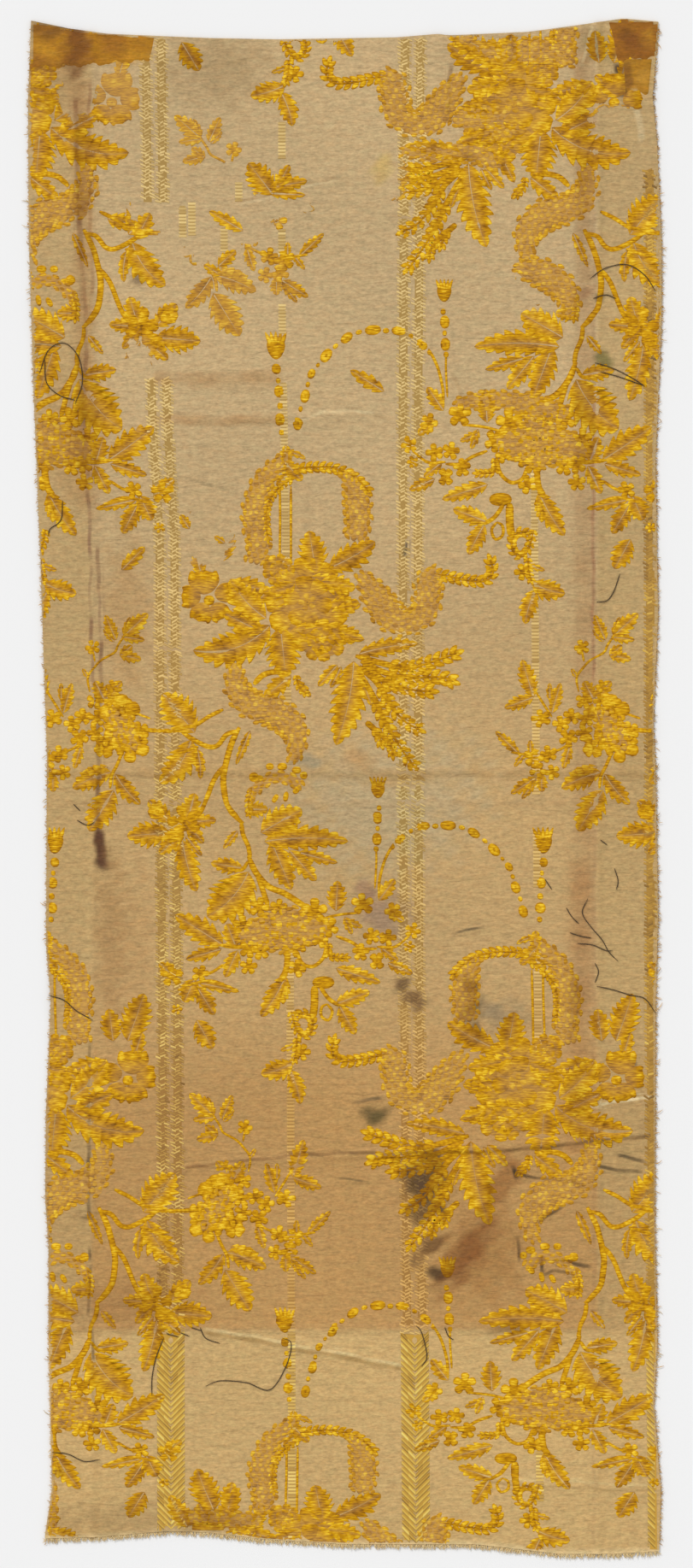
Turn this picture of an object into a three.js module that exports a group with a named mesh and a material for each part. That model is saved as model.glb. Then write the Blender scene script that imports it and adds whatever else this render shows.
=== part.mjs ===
// A length of woven silk brocade lying flat, with the fold marks of its former use.
// Millimetres, +Z up. X runs across the cloth and Y along it, from the frayed end to the turned end.
import * as THREE from 'three';

// Driving dimensions of the cloth.
const sheetThickness = 1.2;
const seamX = 141.5; // both old seam folds run this far from the middle
const crossCreaseY = 7.7; // sharp crease straight across the middle
const upperCreaseY = 206; // soft pair of creases in the upper half
const allowanceY = -304; // below this line the cloth was turned under
const slantCrease = { x: 173, y: -195.5, slope: 0.068 }; // long crease that climbs to the right
const foldHalfWidth = 4.5; // from the ridge of a sharp fold to flat cloth
const restingLift = 0.12; // lifts lower than this lie flat on the surface

// The four raw edges: a row for each bend, all bends joined by straight runs.
const leftEdge = [
  { y: -422, x: -167.8 },
  { y: -394, x: -164.0 },
  { y: -311, x: -165.9 },
  { y: -256, x: -165.9 },
  { y: -231, x: -167.8 },
  { y: -182, x: -167.3 },
  { y: -120, x: -164.6 },
  { y: -88, x: -167.3 },
  { y: 17, x: -166.8 },
  { y: 134, x: -170.7 },
  { y: 214, x: -174.0 },
  { y: 306, x: -176.9 },
  { y: 384, x: -177.4 },
  { y: 429, x: -175.5 },
];
const rightEdge = [
  { y: -429, x: 175.9 },
  { y: -394, x: 176.9 },
  { y: -346, x: 173.0 },
  { y: -311, x: 175.0 },
  { y: -244, x: 173.5 },
  { y: -125, x: 174.0 },
  { y: -71, x: 175.4 },
  { y: 10, x: 174.0 },
  { y: 35, x: 172.6 },
  { y: 96, x: 175.4 },
  { y: 183, x: 174.0 },
  { y: 263, x: 177.4 },
  { y: 301, x: 177.4 },
  { y: 360, x: 174.8 },
  { y: 386, x: 172.3 },
  { y: 428, x: 175.9 },
];
const frayedEdge = [
  { x: -168, y: -421.3 },
  { x: -135, y: -420.3 },
  { x: -98, y: -416.9 },
  { x: -76, y: -417.9 },
  { x: -49, y: -421.3 },
  { x: -2, y: -424.4 },
  { x: 74, y: -424.6 },
  { x: 120, y: -429.9 },
  { x: 151, y: -429.9 },
  { x: 176, y: -428.4 },
];
const turnedEdge = [
  { x: -175.5, y: 428.7 },
  { x: -155, y: 424.4 },
  { x: -133, y: 421.3 },
  { x: -76, y: 418.9 },
  { x: -37, y: 418.2 },
  { x: 29, y: 419.3 },
  { x: 52, y: 421.2 },
  { x: 58, y: 420.4 },
  { x: 103, y: 422.4 },
  { x: 133, y: 426.5 },
  { x: 156, y: 429.9 },
  { x: 176, y: 428.0 },
];

// The main folds: a row for each, as a ridge from one point to another.
// from and to are X and Y, rise is the ridge's height, half the distance to flat cloth on each side of it,
// and fade the length over which each end dies away.
const folds = [
  { name: 'left seam', from: [-seamX, -440], to: [-seamX, 440], rise: 1.0, half: 4.5, fade: 5 },
  { name: 'left seam turning', from: [-153, 155], to: [-152, 400], rise: 0.8, half: 7, fade: 40 },
  { name: 'right seam', from: [seamX, -440], to: [seamX, 440], rise: 1.0, half: 4.5, fade: 5 },
  { name: 'cross crease', from: [-185, 7.7], to: [185, 7.7], rise: 0.9, half: 4.5, fade: 15 },
  { name: 'under cross crease', from: [-90, -12], to: [110, -12], rise: 0.6, half: 8, fade: 40 },
  { name: 'slant crease', from: [-95, -213.7], to: [173, -195.5], rise: 1.1, half: 4.5, fade: 30 },
  { name: 'allowance', from: [-185, -304], to: [185, -304], rise: 0.7, half: 4.5, fade: 15 },
  { name: 'allowance pucker', from: [-70, -309], to: [32, -326], rise: 0.8, half: 8, fade: 35 },
  { name: 'upper crease', from: [-107, 204], to: [20, 208], rise: 0.9, half: 4.5, fade: 25 },
  { name: 'upper crease twin', from: [-107, 228], to: [-30, 228], rise: 0.7, half: 10, fade: 25 },
  { name: 'top band', from: [-40, 334], to: [20, 347], rise: 0.6, half: 10, fade: 25 },
  { name: 'end ripple', from: [70, -392], to: [172, -396], rise: 0.8, half: 10, fade: 30 },
  { name: 'right edge cockle', from: [150, 386], to: [185, 386], rise: 1.3, half: 16, fade: 18 },
  { name: 'right edge wave', from: [150, 35], to: [185, 33], rise: 1.0, half: 16, fade: 18 },
  { name: 'left edge cockle', from: [-185, -120], to: [-152, -118], rise: 1.2, half: 16, fade: 18 },
  { name: 'left edge wave', from: [-185, 268], to: [-156, 266], rise: 1.0, half: 18, fade: 16 },
  { name: 'frayed edge wave', from: [-98, -430], to: [-96, -396], rise: 1.0, half: 18, fade: 18 },
  { name: 'turned edge wave', from: [54, 400], to: [54, 432], rise: 1.0, half: 18, fade: 18 },
];

// How finely the flat cloth between two neighbouring guides is divided.
const columnSteps = [2, 15, 2];
const rowSteps = [7, 6, 12, 11, 12];

const mix = (a, b, share) => a + (b - a) * share;

// Reads an edge table at a place along it.
function edgeAt(rows, along, across, place) {
  const last = rows.length - 1;
  const next = Math.min(Math.max(rows.findIndex((row) => row[along] > place), 1), last);
  const before = rows[place >= rows[last][along] ? last - 1 : next - 1];
  const after = rows[place >= rows[last][along] ? last : next];
  const share = THREE.MathUtils.clamp((place - before[along]) / (after[along] - before[along]), 0, 1);
  return mix(before[across], after[across], share);
}

// Smooth hump: 1 on the ridge, 0 from one half width away.
const hump = (distance) => (distance >= 1 ? 0 : (1 - distance * distance) ** 2);

// Height of one fold above the surface at a point of the cloth.
function foldLift(fold, x, y) {
  const start = new THREE.Vector2(...fold.from);
  const direction = new THREE.Vector2(...fold.to).sub(start);
  const length = direction.length();
  direction.normalize();
  const reach = new THREE.Vector2(x, y).sub(start);
  const along = reach.dot(direction);
  const across = Math.abs(reach.cross(direction));
  const toEnd = Math.min(along, length - along);
  const fading = THREE.MathUtils.smoothstep(toEnd, 0, fold.fade);
  return fold.rise * fading * hump(across / fold.half);
}

// The underside rests on the surface wherever no fold lifts it.
function undersideAt(x, y) {
  const lift = folds.reduce((highest, fold) => Math.max(highest, foldLift(fold, x, y)), 0);
  return lift > restingLift ? lift : 0;
}

// Mesh lines run along the guides, close beside each inner one, and evenly in between.
function meshLines(guides, steps) {
  const lines = [guides[0]];
  for (let gap = 0; gap < steps.length; gap += 1) {
    const startShift = gap === 0 ? 0 : foldHalfWidth;
    const endShift = gap === steps.length - 1 ? 0 : foldHalfWidth;
    const start = (place) => guides[gap](place) + startShift;
    const end = (place) => guides[gap + 1](place) - endShift;
    for (let step = startShift ? 0 : 1; step <= steps[gap]; step += 1) {
      lines.push((place) => mix(start(place), end(place), step / steps[gap]));
    }
    if (endShift) {
      lines.push(guides[gap + 1]);
    }
  }
  return lines;
}

const columns = meshLines([
  (y) => edgeAt(leftEdge, 'y', 'x', y),
  () => -seamX,
  () => seamX,
  (y) => edgeAt(rightEdge, 'y', 'x', y),
], columnSteps);
const rows = meshLines([
  (x) => edgeAt(frayedEdge, 'x', 'y', x),
  () => allowanceY,
  (x) => slantCrease.y + slantCrease.slope * (x - slantCrease.x),
  () => crossCreaseY,
  () => upperCreaseY,
  (x) => edgeAt(turnedEdge, 'x', 'y', x),
], rowSteps);

// Crossing of a column and a row, each of which may lean on the other.
function crossing(column, row) {
  let x = column(0);
  let y = row(x);
  for (let turn = 0; turn < 3; turn += 1) {
    x = column(y);
    y = row(x);
  }
  return { x, y };
}

// One closed sheet: the upper face, the underside and the four narrow sides, centred on the Z axis.
function sheetGeometry() {
  const places = [];
  for (const row of rows) {
    for (const column of columns) {
      const { x, y } = crossing(column, row);
      places.push(x, y, undersideAt(x, y));
    }
  }
  const across = columns.length;
  const layer = across * rows.length;
  const positions = [...places];
  for (let vertex = 0; vertex < layer; vertex += 1) {
    positions.push(places[3 * vertex], places[3 * vertex + 1], places[3 * vertex + 2] + sheetThickness);
  }
  const faces = [];
  for (let row = 0; row + 1 < rows.length; row += 1) {
    for (let column = 0; column + 1 < across; column += 1) {
      const corner = row * across + column;
      faces.push(corner, corner + across, corner + 1);
      faces.push(corner + 1, corner + across, corner + across + 1);
      faces.push(layer + corner, layer + corner + 1, layer + corner + across);
      faces.push(layer + corner + 1, layer + corner + across + 1, layer + corner + across);
    }
  }
  const wall = (from, to) => faces.push(from, to, layer + from, to, layer + to, layer + from);
  const top = layer - across;
  for (let column = 0; column + 1 < across; column += 1) {
    wall(column, column + 1);
    wall(top + column + 1, top + column);
  }
  for (let row = 0; row + 1 < rows.length; row += 1) {
    wall((row + 1) * across, row * across);
    wall(row * across + across - 1, (row + 1) * across + across - 1);
  }
  const geometry = new THREE.BufferGeometry();
  geometry.setAttribute('position', new THREE.Float32BufferAttribute(positions, 3));
  geometry.setIndex(faces);
  geometry.computeBoundingBox();
  const middle = geometry.boundingBox.getCenter(new THREE.Vector3());
  geometry.translate(-middle.x, -middle.y, 0);
  geometry.computeVertexNormals();
  return geometry;
}

const silk = new THREE.MeshStandardMaterial({ color: 0xbd9a6c, roughness: 0.62, metalness: 0 });
const panel = new THREE.Mesh(sheetGeometry(), silk);
panel.name = 'silk_panel';

const textile = new THREE.Group();
textile.add(panel);

export default textile;
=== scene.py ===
import math

import bpy
import numpy as np
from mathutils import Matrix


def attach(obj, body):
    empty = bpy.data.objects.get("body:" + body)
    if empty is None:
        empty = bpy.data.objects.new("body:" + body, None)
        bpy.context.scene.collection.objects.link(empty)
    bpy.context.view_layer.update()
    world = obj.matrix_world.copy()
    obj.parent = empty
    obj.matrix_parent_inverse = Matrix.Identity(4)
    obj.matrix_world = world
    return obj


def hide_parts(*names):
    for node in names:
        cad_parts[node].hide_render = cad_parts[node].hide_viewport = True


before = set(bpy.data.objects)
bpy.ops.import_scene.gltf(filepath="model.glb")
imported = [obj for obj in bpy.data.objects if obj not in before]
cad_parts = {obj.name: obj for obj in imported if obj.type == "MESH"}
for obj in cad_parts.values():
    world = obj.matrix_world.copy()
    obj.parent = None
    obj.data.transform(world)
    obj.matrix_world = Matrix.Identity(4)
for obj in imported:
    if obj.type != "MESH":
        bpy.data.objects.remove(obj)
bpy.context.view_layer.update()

print("frame loaded")

mm = 0.001
random = np.random.default_rng(17)


def toLinear(hexColour):
    parts = [int(hexColour[i:i + 2], 16) / 255 for i in (1, 3, 5)]
    return [c / 12.92 if c <= 0.04045 else ((c + 0.055) / 1.055) ** 2.4 for c in parts]


def addNode(tree, kind, settings=None, links=None):
    node = tree.nodes.new(kind)
    for name, value in (settings or {}).items():
        if isinstance(name, str) and hasattr(node, name):
            setattr(node, name, value)
        else:
            node.inputs[name].default_value = value
    for name, socket in (links or {}).items():
        tree.links.new(socket, node.inputs[name])
    return node


def addRamp(tree, value, steps):
    ramp = addNode(tree, "ShaderNodeValToRGB", links={"Fac": value})
    ramp.color_ramp.elements.remove(ramp.color_ramp.elements[1])
    for k, (position, tint) in enumerate(steps):
        element = ramp.color_ramp.elements[0] if k == 0 else ramp.color_ramp.elements.new(position)
        element.position = position
        element.color = (*toLinear(tint), 1)
    return ramp.outputs[0]


def newMaterial(name):
    material = bpy.data.materials.new(name)
    material.use_nodes = True
    tree = material.node_tree
    tree.nodes.clear()
    shader = addNode(tree, "ShaderNodeBsdfPrincipled")
    addNode(tree, "ShaderNodeOutputMaterial", links={"Surface": shader.outputs["BSDF"]})
    return material, tree, shader


# Shape of the cloth, all in millimetres
cloth = {
    "thickness": 1.2,
    "seamX": 141.5,
    "halfWidth": 177,
    "halfLength": 425,
    "edgeReach": 30,  # how far in from an edge its bends are felt
    "restingLift": 0.12,
    "columnStep": 3.1,
    "rowStep": 3.3,
    "fineStep": 1.4,  # beside a sharp fold
    "fineReach": 5,
}

# Raw edges, a row for each bend: place along the edge, where the edge lies
leftEdge = ((-422, -167.8), (-394, -164.0), (-311, -165.9), (-256, -165.9), (-231, -167.8), (-182, -167.3),
            (-120, -164.6), (-88, -167.3), (17, -166.8), (134, -170.7), (214, -174.0), (306, -176.9),
            (384, -177.4), (429, -175.5))
rightEdge = ((-429, 175.9), (-394, 176.9), (-346, 173.0), (-311, 175.0), (-244, 173.5), (-125, 174.0),
             (-71, 175.4), (10, 174.0), (35, 172.6), (96, 175.4), (183, 174.0), (263, 177.4),
             (301, 177.4), (360, 174.8), (386, 172.3), (428, 175.9))
frayedEdge = ((-168, -421.3), (-135, -420.3), (-98, -416.9), (-76, -417.9), (-49, -421.3), (-2, -424.4),
              (74, -424.6), (120, -429.9), (151, -429.9), (176, -428.4))
turnedEdge = ((-175.5, 428.7), (-155, 424.4), (-133, 421.3), (-76, 418.9), (-37, 418.2), (29, 419.3),
              (52, 421.2), (58, 420.4), (103, 422.4), (133, 426.5), (156, 429.9), (176, 428.0))

# Main folds, each a ridge: fromX, fromY, toX, toY, rise, half width, length over which its ends fade
folds = (
    (-141.5, -440, -141.5, 440, 1.0, 4.5, 5),
    (-153, 155, -152, 400, 0.8, 7, 40),
    (141.5, -440, 141.5, 440, 1.0, 4.5, 5),
    (-185, 7.7, 185, 7.7, 0.9, 4.5, 15),
    (-90, -12, 110, -12, 0.6, 8, 40),
    (-95, -213.7, 173, -195.5, 1.1, 4.5, 30),
    (-185, -304, 185, -304, 0.7, 4.5, 15),
    (-70, -309, 32, -326, 0.8, 8, 35),
    (-107, 204, 20, 208, 0.9, 4.5, 25),
    (-107, 228, -30, 228, 0.7, 10, 25),
    (-40, 334, 20, 347, 0.6, 10, 25),
    (70, -392, 172, -396, 0.8, 10, 30),
    (150, 386, 185, 386, 1.3, 16, 18),
    (150, 35, 185, 33, 1.0, 16, 18),
    (-185, -120, -152, -118, 1.2, 16, 18),
    (-185, 268, -156, 266, 1.0, 18, 16),
    (-98, -430, -96, -396, 1.0, 18, 18),
    (54, 400, 54, 432, 1.0, 18, 18),
)


def reachOf(x, y, fromX, fromY, toX, toY):
    length = math.hypot(toX - fromX, toY - fromY)
    along = ((x - fromX) * (toX - fromX) + (y - fromY) * (toY - fromY)) / length
    across = ((x - fromX) * (toY - fromY) - (y - fromY) * (toX - fromX)) / length
    return along, across, length


def smooth(value):
    value = np.clip(value, 0, 1)
    return value * value * (3 - 2 * value)


def clothTop(x, y):
    highest = np.zeros(np.shape(x))
    for fromX, fromY, toX, toY, rise, half, fade in folds:
        along, across, length = reachOf(x, y, fromX, fromY, toX, toY)
        hump = np.clip(1 - (across / half) ** 2, 0, None) ** 2
        ends = smooth(np.minimum(along, length - along) / fade)
        highest = np.maximum(highest, rise * hump * ends)
    cockle = 0.05 * (2 + np.sin(x / 19 + 1.3 * np.sin(y / 31)) + np.sin(y / 23 + 1.7 * np.sin(x / 41)))
    return cloth["thickness"] + np.maximum(highest - cloth["restingLift"], 0) + cockle


def insideCloth(x, y, margin=0.0):
    left = np.interp(y, *zip(*leftEdge)) + margin
    right = np.interp(y, *zip(*rightEdge)) - margin
    low = np.interp(x, *zip(*frayedEdge)) + margin
    high = np.interp(x, *zip(*turnedEdge)) - margin
    return (x > left) & (x < right) & (y > low) & (y < high)


# The warp runs a little askew: how far the pattern drifts to the right, a row for each height
driftAcross = (-177, -99, -30, 36.8, 103.6, 172.6)
driftRows = (
    (-430, 1.8, 1.8, 2.2, 3.2, 4.2, 5.0),
    (-270, 1.4, 1.4, 1.6, 2.0, 3.6, 3.5),
    (-110, 1.0, 1.0, 1.0, 0.5, 2.9, 2.9),
    (0, 0.0, 0.0, 0.0, 0.0, 2.0, 2.7),
    (140, -0.5, -0.5, -1.4, 0.0, 1.0, 2.7),
    (203, -4.5, -4.5, -2.5, 0.0, 1.0, 2.5),
    (270, -6.5, -6.5, -3.5, 0.5, 1.0, 2.5),
    (430, -8.5, -8.5, -3.5, 1.5, 1.0, 2.0),
)

# It has also crept up the cloth above the ring: height as seen, how much
creepRows = ((-430, 8), (-405, 6), (-385, 3), (-350, 0), (130, 0), (165, 2), (190, 3), (215, 6),
             (240, 8), (265, 9), (300, 10), (430, 10))


def settled(y):
    return y - np.interp(y, *zip(*creepRows))


def crept(y):
    return y + np.interp(y, [height - creep for height, creep in creepRows], [creep for _, creep in creepRows])


def drift(x, y):
    heights = [row[0] for row in driftRows]
    columns = [np.interp(y, heights, [row[k + 1] for row in driftRows]) for k in range(len(driftAcross))]
    result = np.zeros(np.shape(x))
    for k in range(len(driftAcross) - 1):
        low, high = driftAcross[k], driftAcross[k + 1]
        share = (x - low) / (high - low)
        inside = (x >= low) & (x < high)
        result = np.where(inside, columns[k] * (1 - share) + columns[k + 1] * share, result)
    result = np.where(x < driftAcross[0], columns[0], result)
    return np.where(x >= driftAcross[-1], columns[-1], result)


# Colours of the ground, the soiling, and the painted shade and highlight along the folds
groundColours = {
    "upper": "#C2A67C",
    "middle": "#C09E6C",
    "lower": "#B98F58",
    "allowance": "#C8A670",
    "sideAllowance": "#B99A68",
    "frayed": "#E2C898",
}

# Soft stains: x, y, half width, half height, turn in degrees, colour, strength
stains = (
    (-160, 392, 17, 20, 0, "#8A5C1C", 0.25),
    (-167, 411, 7, 6, 0, "#CC9218", 0.4),
    (-117, 409, 8, 4, 0, "#CC9218", 0.4),
    (-163, 424, 13, 6, 0, "#6A3E08", 0.6),
    (-150, 412, 8, 17, 0, "#703E04", 0.8),
    (170, 419, 5, 6, 0, "#C48C1C", 0.5),
    (159, 419, 6, 5, 0, "#6E3E04", 0.6),
    (158, 397, 3, 9, 0, "#6E4208", 0.6),
    (167, 396, 5, 6, 0, "#C89430", 0.4),
    (-150, 195, 20, 45, 0, "#96601C", 0.28),
    (-122, 95, 15, 45, 0, "#A87C46", 0.4),
    (90, -304, 10, 3, 0, "#6E4A14", 0.6),
    (48, 322, 9, 14, 0, "#A8823C", 0.2),
    (-130, 417, 9, 8, 0, "#8A5208", 0.5),
    (-172, 404, 9, 6, 0, "#8A5208", 0.5),
    (164, 414, 10, 7, 20, "#804A08", 0.5),
    (-137, -31, 3.4, 14, 4, "#48200A", 0.95),
    (-136.5, -43.5, 4.4, 4.2, 0, "#48200A", 0.9),
    (-131, -85, 9, 52, 0, "#9A7040", 0.5),
    (-116, -92, 11, 48, 0, "#A87C4A", 0.35),
    (24, -8, 55, 40, 10, "#A9A58E", 0.35),
    (8, 15, 14, 6, 0, "#B8854A", 0.4),
    (30, 4, 22, 5, 0, "#B48C50", 0.5),
    (-22, 14, 9, 4, 0, "#8F8872", 0.6),
    (20, -72, 17, 13, -20, "#8C7064", 0.6),
    (12, -58, 6, 5, 0, "#8A6050", 0.5),
    (33, -110, 5, 5, 0, "#50300A", 0.75),
    (38, -118, 9, 4, 0, "#623C10", 0.7),
    (41, -122, 5, 5, 0, "#5A360C", 0.6),
    (70, -112, 5, 4, -30, "#3C2E0C", 0.7),
    (71, -126, 6, 6, 0, "#4A3812", 0.6),
    (75, -138, 3, 5, 20, "#3C2E0C", 0.6),
    (82, -126, 9, 5, -15, "#86765E", 0.5),
    (-120, -412, 52, 12, 0, "#9A7C52", 0.45),
    (-72, -412, 22, 7, 0, "#7E6238", 0.4),
    (-125, -290, 40, 15, 0, "#946434", 0.4),
    (-72, 402, 30, 22, 0, "#9C8058", 0.5),
    (78, -262, 24, 28, 0, "#96642A", 0.45),
    (69, 352, 5, 3, -20, "#6A4420", 0.5),
    (140, 414, 9, 11, 0, "#6E6430", 0.5),
    (145, 239, 6, 5, 0, "#5A5A1C", 0.7),
    (153, 402, 2.5, 3, 0, "#3E2408", 0.9),
    (156, 388, 2.5, 3, 0, "#3E2408", 0.7),
    (135, 276, 5, 4, 0, "#8A5A3C", 0.6),
    (142, 273, 2.5, 2.5, 0, "#4E3A10", 0.7),
    (70, -124, 7, 17, 0, "#5E4E30", 0.4),
    (90, -130, 14, 12, 0, "#8A7A60", 0.4),
    (44, -222, 13, 18, 10, "#503606", 0.9),
    (50, -208, 6, 5, 30, "#462C06", 0.75),
    (42, -238, 8, 8, 0, "#5A3E0A", 0.7),
    (54, -238, 4, 4, 0, "#402A06", 0.7),
    (50, -256, 9, 5, 30, "#5E3A10", 0.75),
    (42, -262, 5, 9, -20, "#6E4A1C", 0.6),
    (53, -273, 7, 4, 0, "#3A2204", 0.85),
    (68, -262, 9, 26, -35, "#7A4410", 0.75),
    (88, -222, 8, 20, -30, "#8A5218", 0.6),
    (18, -184, 8, 6, -5, "#4E421C", 0.85),
    (-116, 283, 4, 4, 0, "#6B5540", 0.7),
    (21, 346, 6, 8, 0, "#C9A850", 0.5),
)

# Fold and soil lines, the fold lines being painted shade along the creases with painted highlight beside some: fromX,
# fromY, toX, toY, half width, colour, strength
lines = (
    (-148, 395, -144, 158, 6.0, "#A67A4C", 0.5),
    (-151, 385, -149, 330, 1.5, "#7E5230", 0.7),
    (-149, 332, -147, 295, 1.7, "#7E5230", 0.75),
    (-147, 298, -145, 255, 1.3, "#8A5E38", 0.6),
    (-143, 395, -143, 360, 1.1, "#8A5E3C", 0.6),
    (-143, 340, -141, 275, 1.2, "#96683E", 0.55),
    (-145, 255, -146, 200, 1.4, "#7A5230", 0.7),
    (-146, 200, -143.4, 158, 1.3, "#7A5230", 0.6),
    (-143.4, 160, -142.2, 128, 1.1, "#7A5240", 0.65),
    (-142.2, 125, -142.6, 97, 0.9, "#7A5240", 0.4),
    (-142.6, 95, -141.4, 78, 1.2, "#7A4E38", 0.7),
    (-141.4, 75, -139.6, 46, 1.0, "#7A5240", 0.5),
    (-138.6, 134, -138.0, 112, 1.2, "#6E4630", 0.65),
    (-138.0, 112, -137.0, 84, 0.9, "#7A5240", 0.45),
    (-137.0, 82, -136.4, 58, 1.3, "#6E4630", 0.7),
    (-136.4, 58, -138.0, 20, 1.1, "#6E4630", 0.6),
    (-138.0, 22, -138.0, -30, 1.4, "#5E3A26", 0.75),
    (-141, 158, -118, 157.5, 0.7, "#9A7048", 0.45),
    (-143.4, -144, -143.6, -190, 1.0, "#5E4418", 0.5),
    (-143.6, -192, -143.4, -242, 1.2, "#3A2408", 0.75),
    (-150, -241, -141, -243, 0.9, "#3A2408", 0.7),
    (-143.4, -258, -143.2, -266, 1.0, "#3A2408", 0.7),
    (-143.2, -269, -143.2, -296, 1.0, "#4A3010", 0.65),
    (-142.0, -298, -140.0, -322, 1.0, "#4A3010", 0.6),
    (-141.0, -325, -141.0, -345, 0.8, "#5E4418", 0.4),
    (-164, -384, -157, -384.5, 2.0, "#4A2E10", 0.7),
    (139.5, 424, 139.5, -300, 1.3, "#8B6848", 0.32),
    (139.5, -300, 139.5, -425, 1.2, "#8B6848", 0.22),
    (133, 424, 134, 282, 5.0, "#93683A", 0.5),
    (134, 282, 134, -134, 6.0, "#9E764C", 0.5),
    (131, -40, 131, -205, 7.0, "#A06A38", 0.4),
    (139, 215, 139, 60, 1.0, "#8A4E34", 0.45),
    # a crease: painted shade along it, painted highlight just above
    (-60, 327, -5, 341, 0.9, "#A4835A", 0.4),
    (-60, 325.5, -5, 339.5, 0.8, "#D8C49C", 0.35),
    (-100, 400, -40, 409, 0.9, "#94784E", 0.35),
    (-96, 191, -60, 186, 0.8, "#A4835A", 0.35),
    (0, 212, 24, 206, 1.0, "#A07E54", 0.45),
    (20, 320, 95, 312, 0.8, "#A4835A", 0.3),
    (60, 232, 68, 214, 1.2, "#A07E54", 0.35),
    (-128, 79, -60, 74, 1.0, "#A4835A", 0.3),
    (133.5, 405, 138, 425, 0.9, "#D8C49A", 0.5),
    (162, 390, 166, 362, 2.0, "#DCCBA6", 0.5),
    (59.5, 404, 58, 376, 1.3, "#6A4420", 0.6),
    (58, 336, 58, 326, 0.9, "#6A4420", 0.6),
    (93, 424, 93, 405, 1.8, "#8A5E2C", 0.4),
    # painted shade along the fold at -304
    (-168, -304, 176, -304, 1.6, "#9A7448", 0.25),
    (94, -213, 96, -220, 1.3, "#2E2010", 0.9),
    (95, -216, 104, -219.5, 1.2, "#2E2010", 0.85),
    (100, -218.5, 130, -222, 0.8, "#3A2810", 0.7),
    (126, -220, 134, -225, 1.1, "#3A2810", 0.7),
    (108, -245, 122, -235, 1.0, "#3A2810", 0.8),
    (97, -253, 98, -266, 1.0, "#3A2810", 0.8),
    (110, -263, 111, -273, 1.1, "#2E2010", 0.85),
    (111, -273.5, 118, -270, 1.0, "#2E2010", 0.8),
    (117, -265, 138, -269, 1.2, "#3A2810", 0.8),
    (118, -271, 128, -273, 0.9, "#3A2810", 0.7),
    (141, -213, 166, -216, 1.1, "#3A2C18", 0.8),
    (152, -207, 168, -210, 1.1, "#3A2C18", 0.75),
    (162, -152, 163, -157, 1.4, "#3A2C18", 0.7),
    # painted highlight and painted shade along the fold near the lower end
    (76, -387, 174, -392, 0.8, "#D8C08A", 0.45),
    (76, -390, 174, -395, 0.9, "#8E7040", 0.4),
    # painted shade along the folds at 7.7 and -12 and along the diagonal crease
    (-168, 7.5, 176, 7.5, 3.2, "#A67E48", 0.35),
    (-168, -10, 176, -10, 2.4, "#A8855A", 0.3),
    (-90, -213.5, -21, -205.8, 1.0, "#7A5228", 0.7),
    (-21, -205.8, 89, -204.6, 1.1, "#6E4A1E", 0.75),
    (89, -204.6, 173, -195.3, 1.2, "#603E14", 0.75),
    # painted shade along the fold down to -326, painted highlight just above it
    (-78, -305.4, 32, -326, 1.6, "#8E6C34", 0.6),
    (-78, -303.4, 32, -324, 1.0, "#E6D09C", 0.5),
    # painted shade along the folds at 228 and 205, painted highlight on the crease near 206
    (-107, 228, -35, 228, 4.0, "#A87E4E", 0.6),
    (-107, 205, -35, 205, 3.0, "#A87E4E", 0.6),
    (-28, 203.4, -13, 209.5, 1.0, "#DCC79C", 0.6),
    (-13, 209.5, 17, 209.5, 1.0, "#DCC79C", 0.6),
    (-95, 174, -64, 165, 1.0, "#8A7A58", 0.4),
    (-5, -220, 12, -221, 0.7, "#5A4A2C", 0.6),
    (34.5, 138, 34.2, 129, 0.7, "#2E2A20", 0.9),
    (62, -82, 77, -79, 0.8, "#3A3022", 0.7),
    (5, -177, 21, -174.5, 1.2, "#5A4A30", 0.7),
    (137, -179, 174, -173.8, 0.9, "#E6D6AE", 0.75),
)


def soilAndFoldShadeAt(x, y):
    # Colour and strength of the soil and of the painted shade and highlight along the folds at a place, later rows
    # over earlier ones
    colour = np.zeros((len(x), 3))
    strength = np.zeros(len(x))
    for stainX, stainY, halfWide, halfHigh, turn, tint, most in stains:
        angle = math.radians(turn)
        across = ((x - stainX) * math.cos(angle) + (y - stainY) * math.sin(angle)) / halfWide
        up = ((y - stainY) * math.cos(angle) - (x - stainX) * math.sin(angle)) / halfHigh
        uneven = 0.2 * np.sin(x / 3.3 + y / 4.1 + stainX) + 0.14 * np.sin(y / 1.7 - x / 2.2)
        share = most * smooth(1.35 - np.hypot(across, up) + uneven)
        colour = colour * (1 - share[:, None]) + np.array(toLinear(tint)) * share[:, None]
        strength = strength * (1 - share) + share
    for fromX, fromY, toX, toY, half, tint, most in lines:
        along, across, length = reachOf(x, y, fromX, fromY, toX, toY)
        ends = smooth(np.minimum(along, length - along) / 3 + 0.5)
        across = across + 0.4 * np.sin(along / 7.3 + fromX) + 0.25 * np.sin(along / 2.9 + fromY)
        share = most * ends * smooth(1.4 - np.abs(across) / half) * (0.8 + 0.2 * np.sin(along / 4.7 + fromY))
        colour = colour * (1 - share[:, None]) + np.array(toLinear(tint)) * share[:, None]
        strength = strength * (1 - share) + share
    return colour / np.maximum(strength, 1e-6)[:, None], strength


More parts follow.
